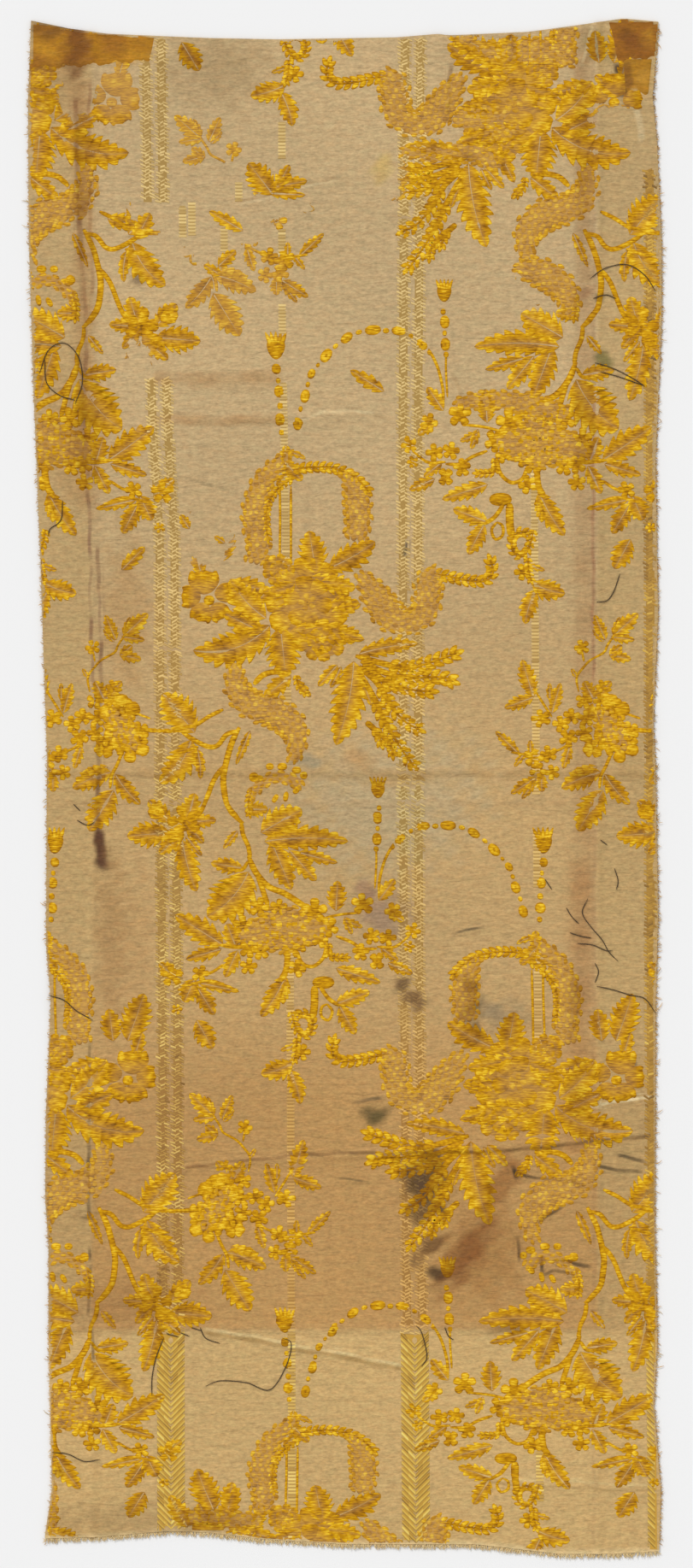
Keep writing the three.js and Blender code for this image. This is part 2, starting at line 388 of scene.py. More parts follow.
def groundTint(x, y):
    shades = {name: np.array(toLinear(tint)) for name, tint in groundColours.items()}
    down = smooth((230 - y) / 260)[:, None]
    colour = shades["upper"] * (1 - down) + shades["middle"] * down
    lower = smooth((-95 - y) / 90)[:, None]
    colour = colour * (1 - lower) + shades["lower"] * lower
    side = smooth((np.abs(x) - 140) / 3)[:, None] * 0.7
    colour = colour * (1 - side) + shades["sideAllowance"] * side
    end = smooth((-302.5 - y) / 3)[:, None]
    colour = colour * (1 - end) + shades["allowance"] * end
    clouds = (np.sin(x / 37 + 2 * np.sin(y / 53)) + np.sin(y / 29 + 1.5 * np.sin(x / 47)))[:, None]
    colour = colour * (1 + 0.02 * clouds)
    frayed = 0.7 * smooth(1 - (y - np.interp(x, *zip(*frayedEdge))) / 3)[:, None]
    colour = colour * (1 - frayed) + shades["frayed"] * frayed
    # Soil and the painted shade and highlight along the folds lie over the ground colour
    soilAndFoldShade, strength = soilAndFoldShadeAt(x, y)
    return colour * (1 - strength[:, None]) + soilAndFoldShade * strength[:, None]


# Mesh helpers: a patch is points across the cloth, how high each stands on it, its tone, and its faces

def gridFaces(rows, columns):
    corner = (np.arange(rows - 1)[:, None] * columns + np.arange(columns - 1)).ravel()
    return np.stack([corner, corner + 1, corner + columns + 1, corner + columns], axis=1)


def makePatch(xy, lift, tone, faces, bare=0.0):
    xy = np.asarray(xy, float).reshape(-1, 2)
    count = len(xy)
    a, b, c = (xy[faces[:, k]] for k in (0, 1, 2))
    turned = (b[:, 0] - a[:, 0]) * (c[:, 1] - a[:, 1]) - (b[:, 1] - a[:, 1]) * (c[:, 0] - a[:, 0])
    if turned.sum() < 0:
        faces = faces[:, ::-1]
    return {
        "xy": xy,
        "lift": np.broadcast_to(np.asarray(lift, float).ravel(), count).copy(),
        "tone": np.broadcast_to(np.asarray(tone, float).ravel(), count).copy(),
        "bare": np.full(count, bare, float),
        "faces": faces,
    }


def joinPatches(patches):
    start = np.cumsum([0] + [len(patch["xy"]) for patch in patches])
    joined = {key: np.concatenate([patch[key] for patch in patches]) for key in ("xy", "lift", "tone", "bare")}
    joined["faces"] = np.concatenate([patch["faces"] + first for patch, first in zip(patches, start)])
    return joined


def smoothPath(points, step):
    # Points every step along a smooth curve through a few points
    points = np.asarray(points, float)
    padded = np.vstack([2 * points[0] - points[1], points, 2 * points[-1] - points[-2]])
    curve = []
    for a, b, c, d in zip(padded, padded[1:], padded[2:], padded[3:]):
        for t in np.linspace(0, 1, 12, endpoint=False):
            curve.append(0.5 * (2 * b + (c - a) * t + (2 * a - 5 * b + 4 * c - d) * t * t
                                + (3 * b - a - 3 * c + d) * t ** 3))
    curve.append(points[-1])
    curve = np.array(curve)
    lengths = np.concatenate([[0], np.cumsum(np.hypot(*(curve[1:, :2] - curve[:-1, :2]).T))])
    count = max(int(round(lengths[-1] / step)), 2)
    places = np.linspace(0, lengths[-1], count + 1)
    return np.stack([np.interp(places, lengths, curve[:, k]) for k in range(points.shape[1])], axis=1)


def discGrid(size):
    a, b = np.meshgrid(np.linspace(-1, 1, size + 1), np.linspace(-1, 1, size + 1))
    return (a * np.sqrt(1 - b * b / 2)).ravel(), (b * np.sqrt(1 - a * a / 2)).ravel(), gridFaces(size + 1, size + 1)


discs = {size: discGrid(size) for size in (2, 3, 4, 6, 12)}

figure = {
    "rimLift": -0.08,  # the rim dips under the ground threads
    "floatLift": 0.24,
    # tone of the painted shade where the floats dip at their rims
    "rimPaintedShadeTone": 0.32,
    "lowerRimPaintedShade": 0.2,  # painted shade: rims that face down the cloth, away from the light, are darker
    "toneSpread": 0.08,
    "midrib": 0.3,  # half width of the bare line along a leaf
    "leafLift": (0.02, 0.17, 0.23, 0.21),
    "leafTone": (-0.24, -0.13, -0.04, 0.08),
    "leafBare": (0.3, 0.1, 0, 0, 0),
    "tooth": (0.05, 0.5, 0.85, 1.0),
    "stemSwell": 1.3,  # worn floats spread wider than they were woven
    "beadSwell": 1.2,
    "netLift": (0.13, 0.17, 0.13),  # clear of the stripes that it crosses
}


def bunch(x, y, length, width, turn, tone, size=3, taper=0.3, height=1.0, bare=0.0, sunk=figure["rimLift"],
          edge=figure["rimPaintedShadeTone"]):
    # One bunch of weft floats: a small long dome, a little pointed at its far end
    u, v, faces = discs[size]
    angle = math.radians(turn)
    along = u * length / 2
    across = v * width / 2 * (1 - taper * u)
    shiftX = along * math.cos(angle) - across * math.sin(angle)
    shiftY = along * math.sin(angle) + across * math.cos(angle)
    middle = np.clip(1 - (u * u + v * v), 0, 1)
    tone = tone + random.normal(0, figure["toneSpread"])
    # The rim is painted shade where the floats dip, darker on rims facing down the cloth, away from the light
    rim = edge + figure["lowerRimPaintedShade"] * shiftY / np.maximum(np.hypot(shiftX, shiftY), 1e-6)
    lift = sunk + (figure["floatLift"] * height - sunk) * middle ** 0.5
    return makePatch(np.stack([x + shiftX, y + shiftY], axis=1), lift, rim + (tone - rim) * middle ** 0.3, faces, bare)


def leaf(tipX, tipY, baseX, baseY, width, lobes, bend=0.0, tone=0.72, bare=0.0):
    # A lobed leaf in two halves beside a bare midrib, its lobes leaning forward, brightest near their ends
    base = np.array([baseX, baseY], float)
    reach = np.array([tipX, tipY], float) - base
    sideways = np.array([-reach[1], reach[0]]) / math.hypot(*reach)
    t = np.linspace(0, 1, 4 * lobes + 1)
    spine = base + np.outer(t, reach) + np.outer(4 * t * (1 - t) * bend, sideways)
    ahead = reach + np.outer(4 * bend * (1 - 2 * t), sideways)
    ahead /= np.hypot(*ahead.T)[:, None]
    aside = np.stack([-ahead[:, 1], ahead[:, 0]], axis=1)
    wide = width / 2 * t ** 0.5 * (1 - t) ** 0.75 / 0.435
    tooth = np.array(figure["tooth"])[np.arange(len(t)) % 4]
    lobeOf = np.arange(len(t)) // 4
    tone = tone + random.normal(0, 0.04)
    patches = []
    for side in (1, -1):
        size = 1 + random.normal(0, 0.1, lobes + 1)[lobeOf]
        rim = np.maximum(wide * (0.72 + 0.44 * tooth * size), 0)
        gap = np.minimum(figure["midrib"] * (1 - t), rim)
        out = gap[:, None] + (rim - gap)[:, None] * np.array([0, 0.28, 0.58, 0.86, 1])
        lean = out * (0.28 + 0.16 * tooth)[:, None] * (1 - t)[:, None] ** 0.4
        xy = spine[:, None] + side * aside[:, None] * out[:, :, None] + ahead[:, None] * lean[:, :, None]
        lift = np.full((len(t), 5), figure["rimLift"])
        lift[:, :4] = np.array(figure["leafLift"]) * (0.75 + 0.25 * tooth)[:, None]
        shade = np.full((len(t), 5), tone + 0.04 * side) + random.normal(0, 0.05, lobes + 1)[lobeOf][:, None]
        shade[:, :4] += np.array(figure["leafTone"])
        shade[:, 1:4] -= np.array([0.1, 0.2, 0.3]) * (1 - tooth)[:, None] ** 2
        # The outer rim is painted shade, darker on the side facing down the cloth, away from the light
        shade[:, 4] = figure["rimPaintedShadeTone"] + figure["lowerRimPaintedShade"] * side * aside[:, 1]
        patches.append(makePatch(xy, lift, shade, gridFaces(len(t), 5), np.tile(figure["leafBare"], len(t)) + bare))
    return patches


def blossom(x, y, radius, petals=5, turn=0, tone=0.78, bare=0.0):
    # A small flower: a dull underlay, petals that just touch, and a dark heart
    patches = [bunch(x, y, 1.5 * radius, 1.5 * radius, 0, 0.56, taper=0, height=0.6, bare=bare)]
    for k in range(petals):
        angle = turn + 360 * k / petals + random.normal(0, 5)
        petalX = x + 0.6 * radius * math.cos(math.radians(angle))
        petalY = y + 0.6 * radius * math.sin(math.radians(angle))
        wide = min(1.38 * radius * math.sin(math.pi / petals), radius)
        long = radius * (0.95 + random.normal(0, 0.06))
        patches.append(bunch(petalX, petalY, long, wide, angle, tone, size=4, taper=-0.3, bare=bare))
        if radius > 4.6:
            patches.append(bunch(petalX, petalY, 0.42 * radius, 0.4 * wide, angle, tone - 0.16, size=2, height=1.15,
                                 taper=-0.2, bare=bare, edge=tone - 0.2))
    patches.append(bunch(x, y, 0.45 * radius, 0.45 * radius, 0, tone - 0.28, size=2, height=1.2, taper=0, bare=bare))
    return patches


def petal(x, y, halfLength, halfWidth, turn=0, tone=0.75, bare=0.0):
    # A broad petal or scale: a bright rim of floats round a dull middle
    return [bunch(x, y, 2 * halfLength, 2 * halfWidth, turn, tone, size=6, taper=0, bare=bare),
            bunch(x, y, 1.05 * halfLength, 0.95 * halfWidth, turn, tone - 0.2, taper=0, height=1.15, bare=bare,
                  edge=tone - 0.1)]


def fan(x, y, length, width, turn, tone=0.66, height=1.0):
    # One petal of a full flower: half worn at its foot, bright along its scalloped outer edge
    u, v, faces = discs[6]
    angle = math.radians(turn)
    scallop = 1 + 0.07 * np.cos(9 * v) * np.clip(u, 0, 1)
    along = u * length / 2 * scallop
    across = v * width / 2 * (1 + 0.3 * u)
    shiftX = along * math.cos(angle) - across * math.sin(angle)
    shiftY = along * math.sin(angle) + across * math.cos(angle)
    middle = np.clip(1 - (u * u + v * v), 0, 1)
    outer = smooth((u + 0.5) / 1.1)
    shade = tone - 0.16 * (1 - outer) + 0.1 * np.cos(7 * v) * outer + random.normal(0, 0.05)
    # The rim is painted shade, darker where it faces down the cloth, away from the light
    rim = figure["rimPaintedShadeTone"] + 0.1 + figure["lowerRimPaintedShade"] * shiftY / np.maximum(np.hypot(shiftX, shiftY), 1e-6)
    lift = figure["rimLift"] + (figure["floatLift"] * height - figure["rimLift"]) * middle ** 0.35
    patch = makePatch(np.stack([x + shiftX, y + shiftY], axis=1), lift, rim + (shade - rim) * middle ** 0.25, faces)
    patch["bare"] = 0.25 * (1 - outer)
    return patch


def rose(x, y, halfWide, halfHigh, turn=0):
    # A large open flower: a worn bed under two rings of petals and a bright heart
    patches = [bunch(x, y, 1.9 * halfWide, 1.9 * halfHigh, 0, 0.5, size=12, taper=0, height=0.4, bare=0.35)]
    for reach, count, size, height in ((0.74, 9, 0.66, 0.8), (0.4, 6, 0.52, 1.05)):
        for k in range(count):
            angle = turn + 360 * (k + 0.5 * (count == 6)) / count + random.normal(0, 4)
            ahead = math.radians(angle)
            patches.append(fan(x + halfWide * reach * math.cos(ahead), y + halfHigh * reach * math.sin(ahead),
                               size * min(halfWide, halfHigh), 0.95 * size * min(halfWide, halfHigh), angle,
                               0.7 + random.normal(0, 0.06), height))
    return patches + blossom(x, y, 0.24 * halfWide, 5, 30, tone=0.66, bare=0.2)


def stem(points, width=2.0, tone=0.7):
    width = width * figure["stemSwell"]
    path = smoothPath(points, 1.2)
    step = np.gradient(path, axis=0)
    normal = np.stack([-step[:, 1], step[:, 0]], axis=1) / np.hypot(*step.T)[:, None]
    share = np.linspace(0, 1, len(path))
    half = width / 2 * np.clip(4 * np.minimum(share, 1 - share) + 0.55, 0, 1)
    across = np.linspace(-1, 1, 5)
    xy = path[:, None, :] + normal[:, None, :] * (half[:, None] * across)[:, :, None]
    lift = figure["rimLift"] + (figure["floatLift"] * 0.9 - figure["rimLift"]) * np.sqrt(1 - across ** 2)
    bars = tone + 0.07 * np.where(np.arange(len(path)) % 2, 1, -1)
    # Painted shade darkens the stem toward its edges
    shade = figure["rimPaintedShadeTone"] + (bars[:, None] - figure["rimPaintedShadeTone"]) * np.sqrt(1 - across ** 2)
    return [makePatch(xy, np.tile(lift, (len(path), 1)), shade, gridFaces(len(path), 5))]


def laurel(points, leafLength, tone=0.8, spread=38, stemWidth=1.2):
    # A chain of small leaves, slanting forward on both sides of a thin stem
    path = smoothPath(points, leafLength * 0.62)
    patches = stem(points, stemWidth, tone - 0.3)
    for k in range(len(path) - 1):
        step = path[k + 1] - path[k]
        turn = math.degrees(math.atan2(step[1], step[0]))
        for side in (-1, 1):
            angle = math.radians(turn + side * 90)
            shift = leafLength * 0.3
            centre = path[k] + step / 2 + np.array([math.cos(angle), math.sin(angle)]) * shift
            patches.append(bunch(*centre, leafLength, leafLength * 0.56, turn + side * spread, tone))
    patches.append(bunch(*path[-1], leafLength, leafLength * 0.55, turn, tone))
    return patches


def net(points, cell=3.5, tone=0.58):
    # A band of half-bare net: small scales in half-step rows, edged with brighter ones; points are x, y, width
    path = smoothPath(points, cell * 0.86)
    step = np.gradient(path[:, :2], axis=0)
    normal = np.stack([-step[:, 1], step[:, 0]], axis=1) / np.hypot(*step.T)[:, None]
    across = np.linspace(-1, 1, 5)
    half = path[:, 2] / 2
    xy = path[:, None, :2] + normal[:, None, :] * (half[:, None] * across)[:, :, None]
    lift = np.array([figure["rimLift"], *figure["netLift"], figure["rimLift"]])
    patches = [makePatch(xy, np.tile(lift, (len(path), 1)), 0.54, gridFaces(len(path), 5), 0.5)]
    for k, (x, y, width) in enumerate(path):
        count = max(int(round(width / cell)), 1)
        turn = math.degrees(math.atan2(step[k, 1], step[k, 0]))
        for j in range(count):
            shift = (j + 0.5 + 0.5 * (k % 2) - 0.25) / count * width - width / 2
            place = np.array([x, y]) + normal[k] * shift
            if j in (0, count - 1):
                patches.append(bunch(*place, cell * 1.5, cell * 0.85, turn + random.normal(0, 14), tone + 0.1,
                                     taper=0.3, height=1.2, bare=0.1, edge=tone - 0.14))
            else:
                patches.append(bunch(*place, cell * 1.15, cell, turn, tone + random.normal(0.12, 0.08),
                                     taper=0.2, height=1.15, bare=0.3, sunk=0.1, edge=tone - 0.2))
    return patches


def spray(points, grain):
    # A plume: a ribbed stalk that breaks into pairs of grains over its outer part
    path = smoothPath(points, 1.0)
    split = len(path) // 3
    return stem(path[: 2 * split], 3.2, 0.62) + laurel(path[split:], grain, tone=0.8, spread=34, stemWidth=1.4)


def bead(x, y, length, width, turn=0, tone=0.75):
    swell = figure["beadSwell"]
    patches = [bunch(x, y, swell * length, swell * width, turn, tone, size=4, taper=0)]
    if length > 3:
        patches.append(bunch(x, y, length * 0.5, width * 0.5, turn, tone - 0.16, taper=0, height=1.3, edge=tone - 0.3))
    return patches


# The woven unit, charted in millimetres where it stands once in the middle of the cloth
leaves = (
    # tipX, tipY, baseX, baseY, width, lobes, bend
    (-33, 191, -33, 180, 7, 3, 0), (-22, 183, -33, 187, 4, 3, 1), (-24, 171, -34, 182, 9, 4, 0),
    (-38, 168, -30, 176, 7, 3, 0), (-20, 143, -16, 119, 16, 6, 0), (17, 137, -9, 122, 15, 6, -1),
    (6, 111, -19, 117, 9, 6, 0), (9, 102, -8, 96, 8, 4, 0), (-43, 110, -28, 114, 10, 4, 2),
    (-42, 101, -30, 105, 6, 3, 0), (11, 82, -28, 88, 13, 7, 1), (-41, 109, -64, 114, 11, 5, 0),
    (-64, 116, -44, 94, 17, 6, 2), (-42, 110, -50, 103, 8, 3, 0), (-68, 97, -46, 86, 13, 5, 0),
    (-86, 154, -76, 126, 16, 7, 0), (-66, 145, -68, 126, 12, 5, 0),
    (-85, 76, -42, 90, 20, 8, 6), (-33, 61, -36, 89, 19, 7, 0), (-45, 50, -30, 62, 10, 4, 0),
    (-19, 50, -27, 59, 5, 3, 0), (8, 103, -9, 101, 9, 4, 0), (6, 111, -14, 114, 12, 5, 0),
    (10, 82, -4, 88, 9, 4, 0), (-3, 78, -6, 90, 9, 4, 0),
    (-15, 56, -4, 68, 7, 4, 0), (-8, 55, -2, 67, 5, 3, 0), (-84, 131, -80, 118, 8, 3, 0),
    (41, 80, 8, 74, 10, 7, 1), (-5, 23, 5, 70, 19, 8, 2), (15, 45, 9, 62, 6, 4, 0),
    (-102, 52, -84, 30, 19, 7, 0), (-104, 2, -86, 26, 16, 6, 3), (-81, 4, -83, 21, 6, 4, 1),
    (-61, 12, -53, 31, 5, 5, 0), (-122, -28, -98, -26, 14, 6, 0), (-110, -8, -98, -20, 11, 4, 0),
    (-84, -4, -88, -19, 11, 4, 0), (-72, -19, -86, -20, 8, 4, 0), (-79, -32, -90, -19, 8, 4, 0),
    (-104, -38, -92, -27, 9, 4, 0), (-83, -59, -91, -30, 13, 6, -1), (-80, -39, -89, -28, 5, 4, 0),
    (-43, -13, -55, -13, 9, 4, 0), (-68, -35, -60, -25, 5, 4, 0), (-24, -13, -47, -26, 17, 6, 0),
    (2, -31, -45, -31, 14, 8, 2), (-4, -43, -26, -37, 7, 5, 0), (-16, -53, -31, -36, 10, 5, 0),
    (-30, -58, -41, -31, 14, 6, 0), (-75, -43, -57, -46, 9, 5, 0), (-77, -73, -54, -48, 25, 7, 3),
    (-95, -72, -68, -89, 14, 6, 0), (-89, -97, -69, -91, 8, 5, 0), (-66, -77, -61, -90, 10, 4, 0),
    (-67, -107, -60, -92, 9, 4, 0), (-104, -99, -94, -107, 8, 4, 0), (-73, -128, -83, -112, 10, 5, 0),
    (-90, -121, -84, -108, 12, 5, 0), (-59, -115, -82, -110, 6, 5, 0), (-74, -147, -83, -131, 12, 5, 0),
    (-4, -53, -5, -70, 11, 5, 0), (10, -79, -1, -75, 5, 4, 0), (4, -83, 0, -73, 5, 3, 0),
    (30, -98, 20, -90, 6, 4, 0), (38, -105, 24, -99, 7, 4, 0), (28, -52, 19, -64, 8, 4, 0),
    (33, -76, 24, -68, 7, 3, 0), (20, -110, -5, -102, 9, 6, 0), (14, -115, -5, -122, 10, 5, 0),
    (6, -139, -3, -123, 10, 5, 0), (-36, -148, -27, -145, 4, 3, 0), (-47, -161, -29, -155, 12, 5, 1),
    (-25, -178, -31, -159, 10, 5, 1), (-47, -129, -33, -106, 12, 6, 1), (-35, -122, -32, -109, 6, 4, 0),
    (-87, -172, -73, -185, 9, 5, 0), (-85, -187, -72, -185, 6, 4, 0), (-77, -174, -73, -184, 4, 3, 0),
    (-63, -173, -69, -187, 7, 5, 0), (-62, -181, -68, -188, 4, 4, 0), (-83, -198, -71, -195, 7, 4, 0),
    (-78, -190, -71, -196, 6, 3, 0), (-50, -203, -53, -208, 3, 2, 0), (-72, -210, -63, -220, 8, 4, 0),
    (-57, -210, -62, -220, 8, 4, 0), (-45, -259, -49, -246, 6, 4, 0), (-82, -279, -68, -262, 10, 5, 1),
    (-53, -294, -67, -271, 16, 6, 0), (-44, -270, -66, -261, 12, 6, 1), (-49, -262, -64, -258, 6, 4, 0),
    (-23, -198, -29, -219, 10, 6, 0), (-44, -211, -39, -228, 7, 5, 0), (-38, -211, -38, -221, 4, 3, 0),
    (-13, -225, -29, -219, 8, 5, 0), (-8, -238, -21, -251, 6, 5, 0), (-18, -258, -24, -250, 4, 3, 0),
    (-33, -272, -33, -262, 7, 4, 0), (-16, -273, -30, -264, 7, 5, 0), (-22, -276, -30, -265, 5, 4, 0),
    (-27, -243, -27, -250, 4, 3, 0),
)

blossoms = (
    # x, y, radius, petals, turn
    (-126, 40, 12, 5, 20), (-119, 23, 10, 5, 50), (-134, 24, 8, 5, 0), (-90, -20, 10, 5, 30),
    (-48, -68, 6, 5, 0), (-57, -78, 6, 5, 20), (-43, -76, 5.5, 5, 40), (-37, -68, 5, 5, 10),
    (-54, -91, 5.5, 5, 0), (-47, -92, 5.5, 5, 30), (-34, -81, 7, 5, 50), (-25, -75, 6.5, 5, 0),
    (-30, -91, 6, 5, 20), (-24, -88, 5, 5, 60), (-41, -85, 5, 5, 0), (-54, -101, 5, 5, 15),
    (-17, -70, 7.5, 5, 18), (10, -66, 6.5, 5, 20), (-9, -79, 6, 5, 50), (-14, -86, 5, 5, 0),
    (15, -84, 5, 5, 30), (24, -85, 5, 5, 0), (9, -93, 5, 5, 15), (18, -98, 5, 4, 45),
    (38, -81, 5, 5, 0), (36, -90, 3.5, 5, 0), (27, -70, 5, 5, 40), (-81, -105, 5, 5, 0),
    (-27, -102, 5.5, 5, 0), (-97, -106, 7, 5, 20), (-94, -125, 3.2, 5, 0), (-24, -149, 5, 5, 0),
    (-56, -191, 4.5, 5, 0), (-82, -238, 5.5, 5, 0), (-33, -231, 5.5, 5, 0),
    (-37, -251, 5, 5, 0), (-29, -253, 6, 5, 30), (-39, -261, 4.5, 5, 0), (-31, -260, 5, 5, 45),
    (-73, -224, 5.5, 5, 0), (-66, -221, 4.5, 5, 0), (-57, -221, 5, 5, 30), (-65, -229, 5, 5, 10),
    (-75, -233, 5.5, 5, 0), (-67, -240, 5.5, 5, 40), (-57, -239, 5, 5, 0), (-50, -230, 5, 5, 20),
    (-44, -234, 5, 5, 0), (-48, -242, 5.5, 5, 50), (-72, -246, 6, 5, 0), (-62, -248, 5.5, 5, 30),
    (-82, -246, 5.5, 5, 0), (-58, -231, 5, 5, 15), (-67, -213, 4, 5, 0),
)

roses = (
    # x, y, half width, half height, turn
    (-21, 103, 23, 26, 15), (-13, 82, 15, 12, 40), (-37, 121, 9, 9, 0),
)

fans = (
    # x, y, length, width, turn
    (-79, 114, 15, 19, 90), (-86, 106, 12, 14, 178), (-80, 97.5, 12, 14, 252), (-71, 98, 11, 13, 310),
    (-68, 108, 11, 12, 15),
)

petals = (
    # x, y, half length, half width, turn
    (-76, 104, 3.4, 3.2, 0), (-14, 76, 6, 4.5, -10), (-105, -14, 6, 5.5, -20), (-96, -28, 7, 5, 10),
    (-12, -110, 7, 4, 0), (-51, 5, 3, 3, 0), (-42, 11, 2.6, 2.2, 0), (-35, 11, 3.2, 2.4, 0),
    (-27, 9, 3, 2.4, 0), (-23, 6, 2.4, 2.4, 0), (-27, -2, 3.2, 2, 55), (-33, -6, 3.4, 1.8, 80),
    (-39, -7, 3.2, 1.8, 60), (-48, 4, 3, 2.4, 0),
)

stems = (
    # width, then the points
    (3.2, (-59, 33), (-63, 25), (-66, 15), (-68, 5), (-67.5, -3), (-66, -10), (-62, -16), (-57, -21)),
    (2.6, (-59, 31), (-66, 29), (-71, 23), (-76, 22), (-83, 25), (-91, 30)),
    (2.6, (-67, 12), (-73, 4), (-77, -6), (-80, -13), (-84, -19)),
    (2.2, (-68, 43), (-76, 39), (-84, 34), (-91, 33)),
    (2.4, (-91, 31), (-105, 31), (-118, 32)),
    (2.0, (-82, 22), (-88, 20), (-94, 18)),
    (3.0, (-51, 57), (-46, 62), (-39, 64), (-31, 63)),
    (2.4, (-58, -20), (-57, -27), (-54, -34), (-53, -41)),
    (3.2, (-54, -39), (-50, -48), (-43, -56), (-34, -60), (-26, -65), (-18, -71)),
    (2.8, (-49, -49), (-46, -58), (-43, -67)),
    (2.0, (-66, -46), (-58, -47), (-54, -42)),
    (2.4, (-70, -89), (-58, -90), (-48, -88), (-38, -84)),
    (1.6, (-80, -106), (-74, -104), (-68, -100)),
    (1.6, (-90, -112), (-76, -109), (-66, -112), (-60, -115)),
    (1.4, (-12, -74), (-3, -72), (7, -71)),
    (1.8, (-5, -84), (3, -87), (10, -91), (18, -91)),
    (1.6, (18, -90), (28, -90), (36, -84)),
    (2.0, (-27, -92), (-24, -99), (-18, -101), (-12, -96), (-10, -87)),
    (3.6, (-32, -90), (-32, -98), (-33, -104), (-36, -109)),
    (4.0, (-17, -112), (-17, -122), (-18, -130)),
    (2.2, (-14, -112), (-9, -119), (-3, -123)),
    (1.6, (-10, -122), (-7, -126), (-9, -131), (-13, -129), (-13, -124), (-10, -122)),
    (1.3, (-74, -184), (-70, -190), (-68, -194), (-61, -198), (-57, -202), (-53, -208), (-54, -216)),
    (1.2, (-56, -193), (-57, -199)),
    (1.3, (-88, -231), (-80, -228), (-76, -226)),
    (1.8, (-72, -250), (-69, -257), (-66, -263), (-65, -270)),
    (1.4, (-39, -230), (-34, -222), (-29, -214)),
    (1.4, (-50, -244), (-44, -248), (-38, -250)),
    (1.4, (-29, -250), (-24, -251), (-18, -250)),
    (1.3, (-36.4, 168), (-36.2, 148), (-36.4, 128)),
    (1.3, (-30.2, 168), (-30.2, 148), (-30.2, 124)),
    (1.6, (49, -301), (54, -310), (57, -320), (58, -328)),
    (1.2, (59, -303), (59, -312), (60, -326)),
)

laurels = (
    # leaf length, then the points
    (6.0, (-29, 177), (-20, 178.5), (-10, 178.5), (0, 176), (8, 171), (14, 164)),
    (4.6, (-30, 172), (-38, 166), (-43, 158), (-44, 148), (-43, 137)),
    (6.6, (50, 119), (60, 117), (70, 115), (79, 115), (83, 120), (81, 128)),
    (5.2, (-30, -126), (-28, -134), (-24, -140), (-19, -138), (-18, -131), (-22, -127), (-27, -128)),
    (4.6, (-27, -141), (-27, -148), (-29, -155)),
    (4.4, (-9, -88), (-9, -95), (-4, -96), (2, -96)),
    (4.4, (-52, -2), (-54, -9), (-53, -17)),
    (4.2, (-27, 62), (-26, 56), (-21, 51)),
)

sprays = (
    # grain length, then the points
    (8.0, (6, 73), (20, 69), (35, 66), (50, 70), (64, 75)),
    (8.0, (9, 70), (24, 63), (40, 61), (54, 61), (62, 58)),
    (8.0, (10, 68), (24, 58), (38, 54), (50, 53)),
    (7.5, (8, 67), (18, 58), (26, 45), (34, 36), (43, 31)),
    (7.5, (7, 65), (16, 50), (22, 37), (29, 25), (35, 16), (40, 10)),
    (5.5, (12, 36), (18, 30), (21, 22)),
    (5.5, (20, 30), (26, 22), (27, 16)),
)

nets = (
    # points are x, y, width
    ((-31, 186, 6), (-40, 178, 11), (-47, 168, 14), (-50, 156, 16), (-50, 146, 16), (-48, 136, 15), (-50, 126, 13)),
    ((0, 175, 7), (5, 168, 14), (7, 158, 17), (7.5, 148, 16), (6, 139, 15)),
    ((-60, -84, 8), (-48, -82, 20), (-34, -80, 28), (-20, -80, 20), (-10, -80, 8)),
    ((-131, 42, 10), (-125, 32, 18), (-117, 22, 10)),
    ((-61, 67, 9), (-61, 56, 15), (-53, 46, 18), (-40, 42, 20), (-29, 33, 18), (-27, 22, 12), (-29, 14, 8)),
    ((9, 119, 8), (15, 110, 16), (21, 101, 20), (29, 93, 19), (38, 92, 16), (45, 98, 17), (46, 107, 18),
     (48, 116, 17), (52, 121, 8)),
    ((-53, -6, 6), (-48, 0, 7), (-40, 5, 7), (-31, 4, 8), (-25, 0, 6)),
)

beads = (
    # x, y, length, width, turn
    (-33.5, -311.5, 5.4, 5, 90), (-32.5, -317.5, 3, 2.6, 90), (-32, -323, 6.4, 5.6, 90), (-31.5, -330.5, 3.6, 3.4, 90),
    (-31.5, -337, 6.2, 6, 90), (-31, -343.5, 3.4, 3, 90), (57, -281, 3.4, 3, 90), (58, -286.5, 7, 5.4, 90),
    (58, -292.5, 3, 2.6, 90), (58.5, -298.5, 7, 5.4, 90), (59, -304, 3.2, 3, 90),
    (-22, -339, 7, 5, 75), (-20.5, -332, 3, 2.4, 75), (-18, -325.5, 7, 5, 72), (-16.5, -319.5, 3, 2.4, 70),
    (-14.5, -314, 5.4, 4, 60), (-11, -309.5, 2.6, 2, 55), (-6.5, -304.5, 8, 5.4, 52), (-1.5, -299.5, 3.4, 2.4, 45),
    (4.5, -295, 7.4, 4.8, 40), (11, -292, 3.6, 2.6, 20), (18.5, -290.8, 8.6, 5.4, 5), (25.5, -291.2, 3.4, 3, 0),
    (32.5, -291.3, 8, 5, -8), (39, -294, 3.2, 2.6, -30), (45, -298.5, 7.4, 5, -42), (49.5, -303, 3, 2.4, -55),
)

buds = (
    # x, y of the foot, height: a striped cup with a frayed mouth
    (-33.5, -307, 18), (57.5, -276, 15),
)


def bud(x, y, height):
    patches = [bunch(x, y + height * 0.34, height * 0.72, height * 0.6, 90, 0.6, size=6, taper=-0.35)]
    for k in range(-2, 3):
        patches.append(bunch(x + k * height * 0.11, y + height * 0.62, height * 0.6, height * 0.17, 90 - k * 12, 0.8,
                             taper=0.5))
    for k in range(4):
        patches.append(bunch(x, y + height * (0.1 + 0.15 * k), height * (0.24 + 0.07 * k), 1.1, 0, 0.85, taper=0,
                             height=1.3))
    return patches


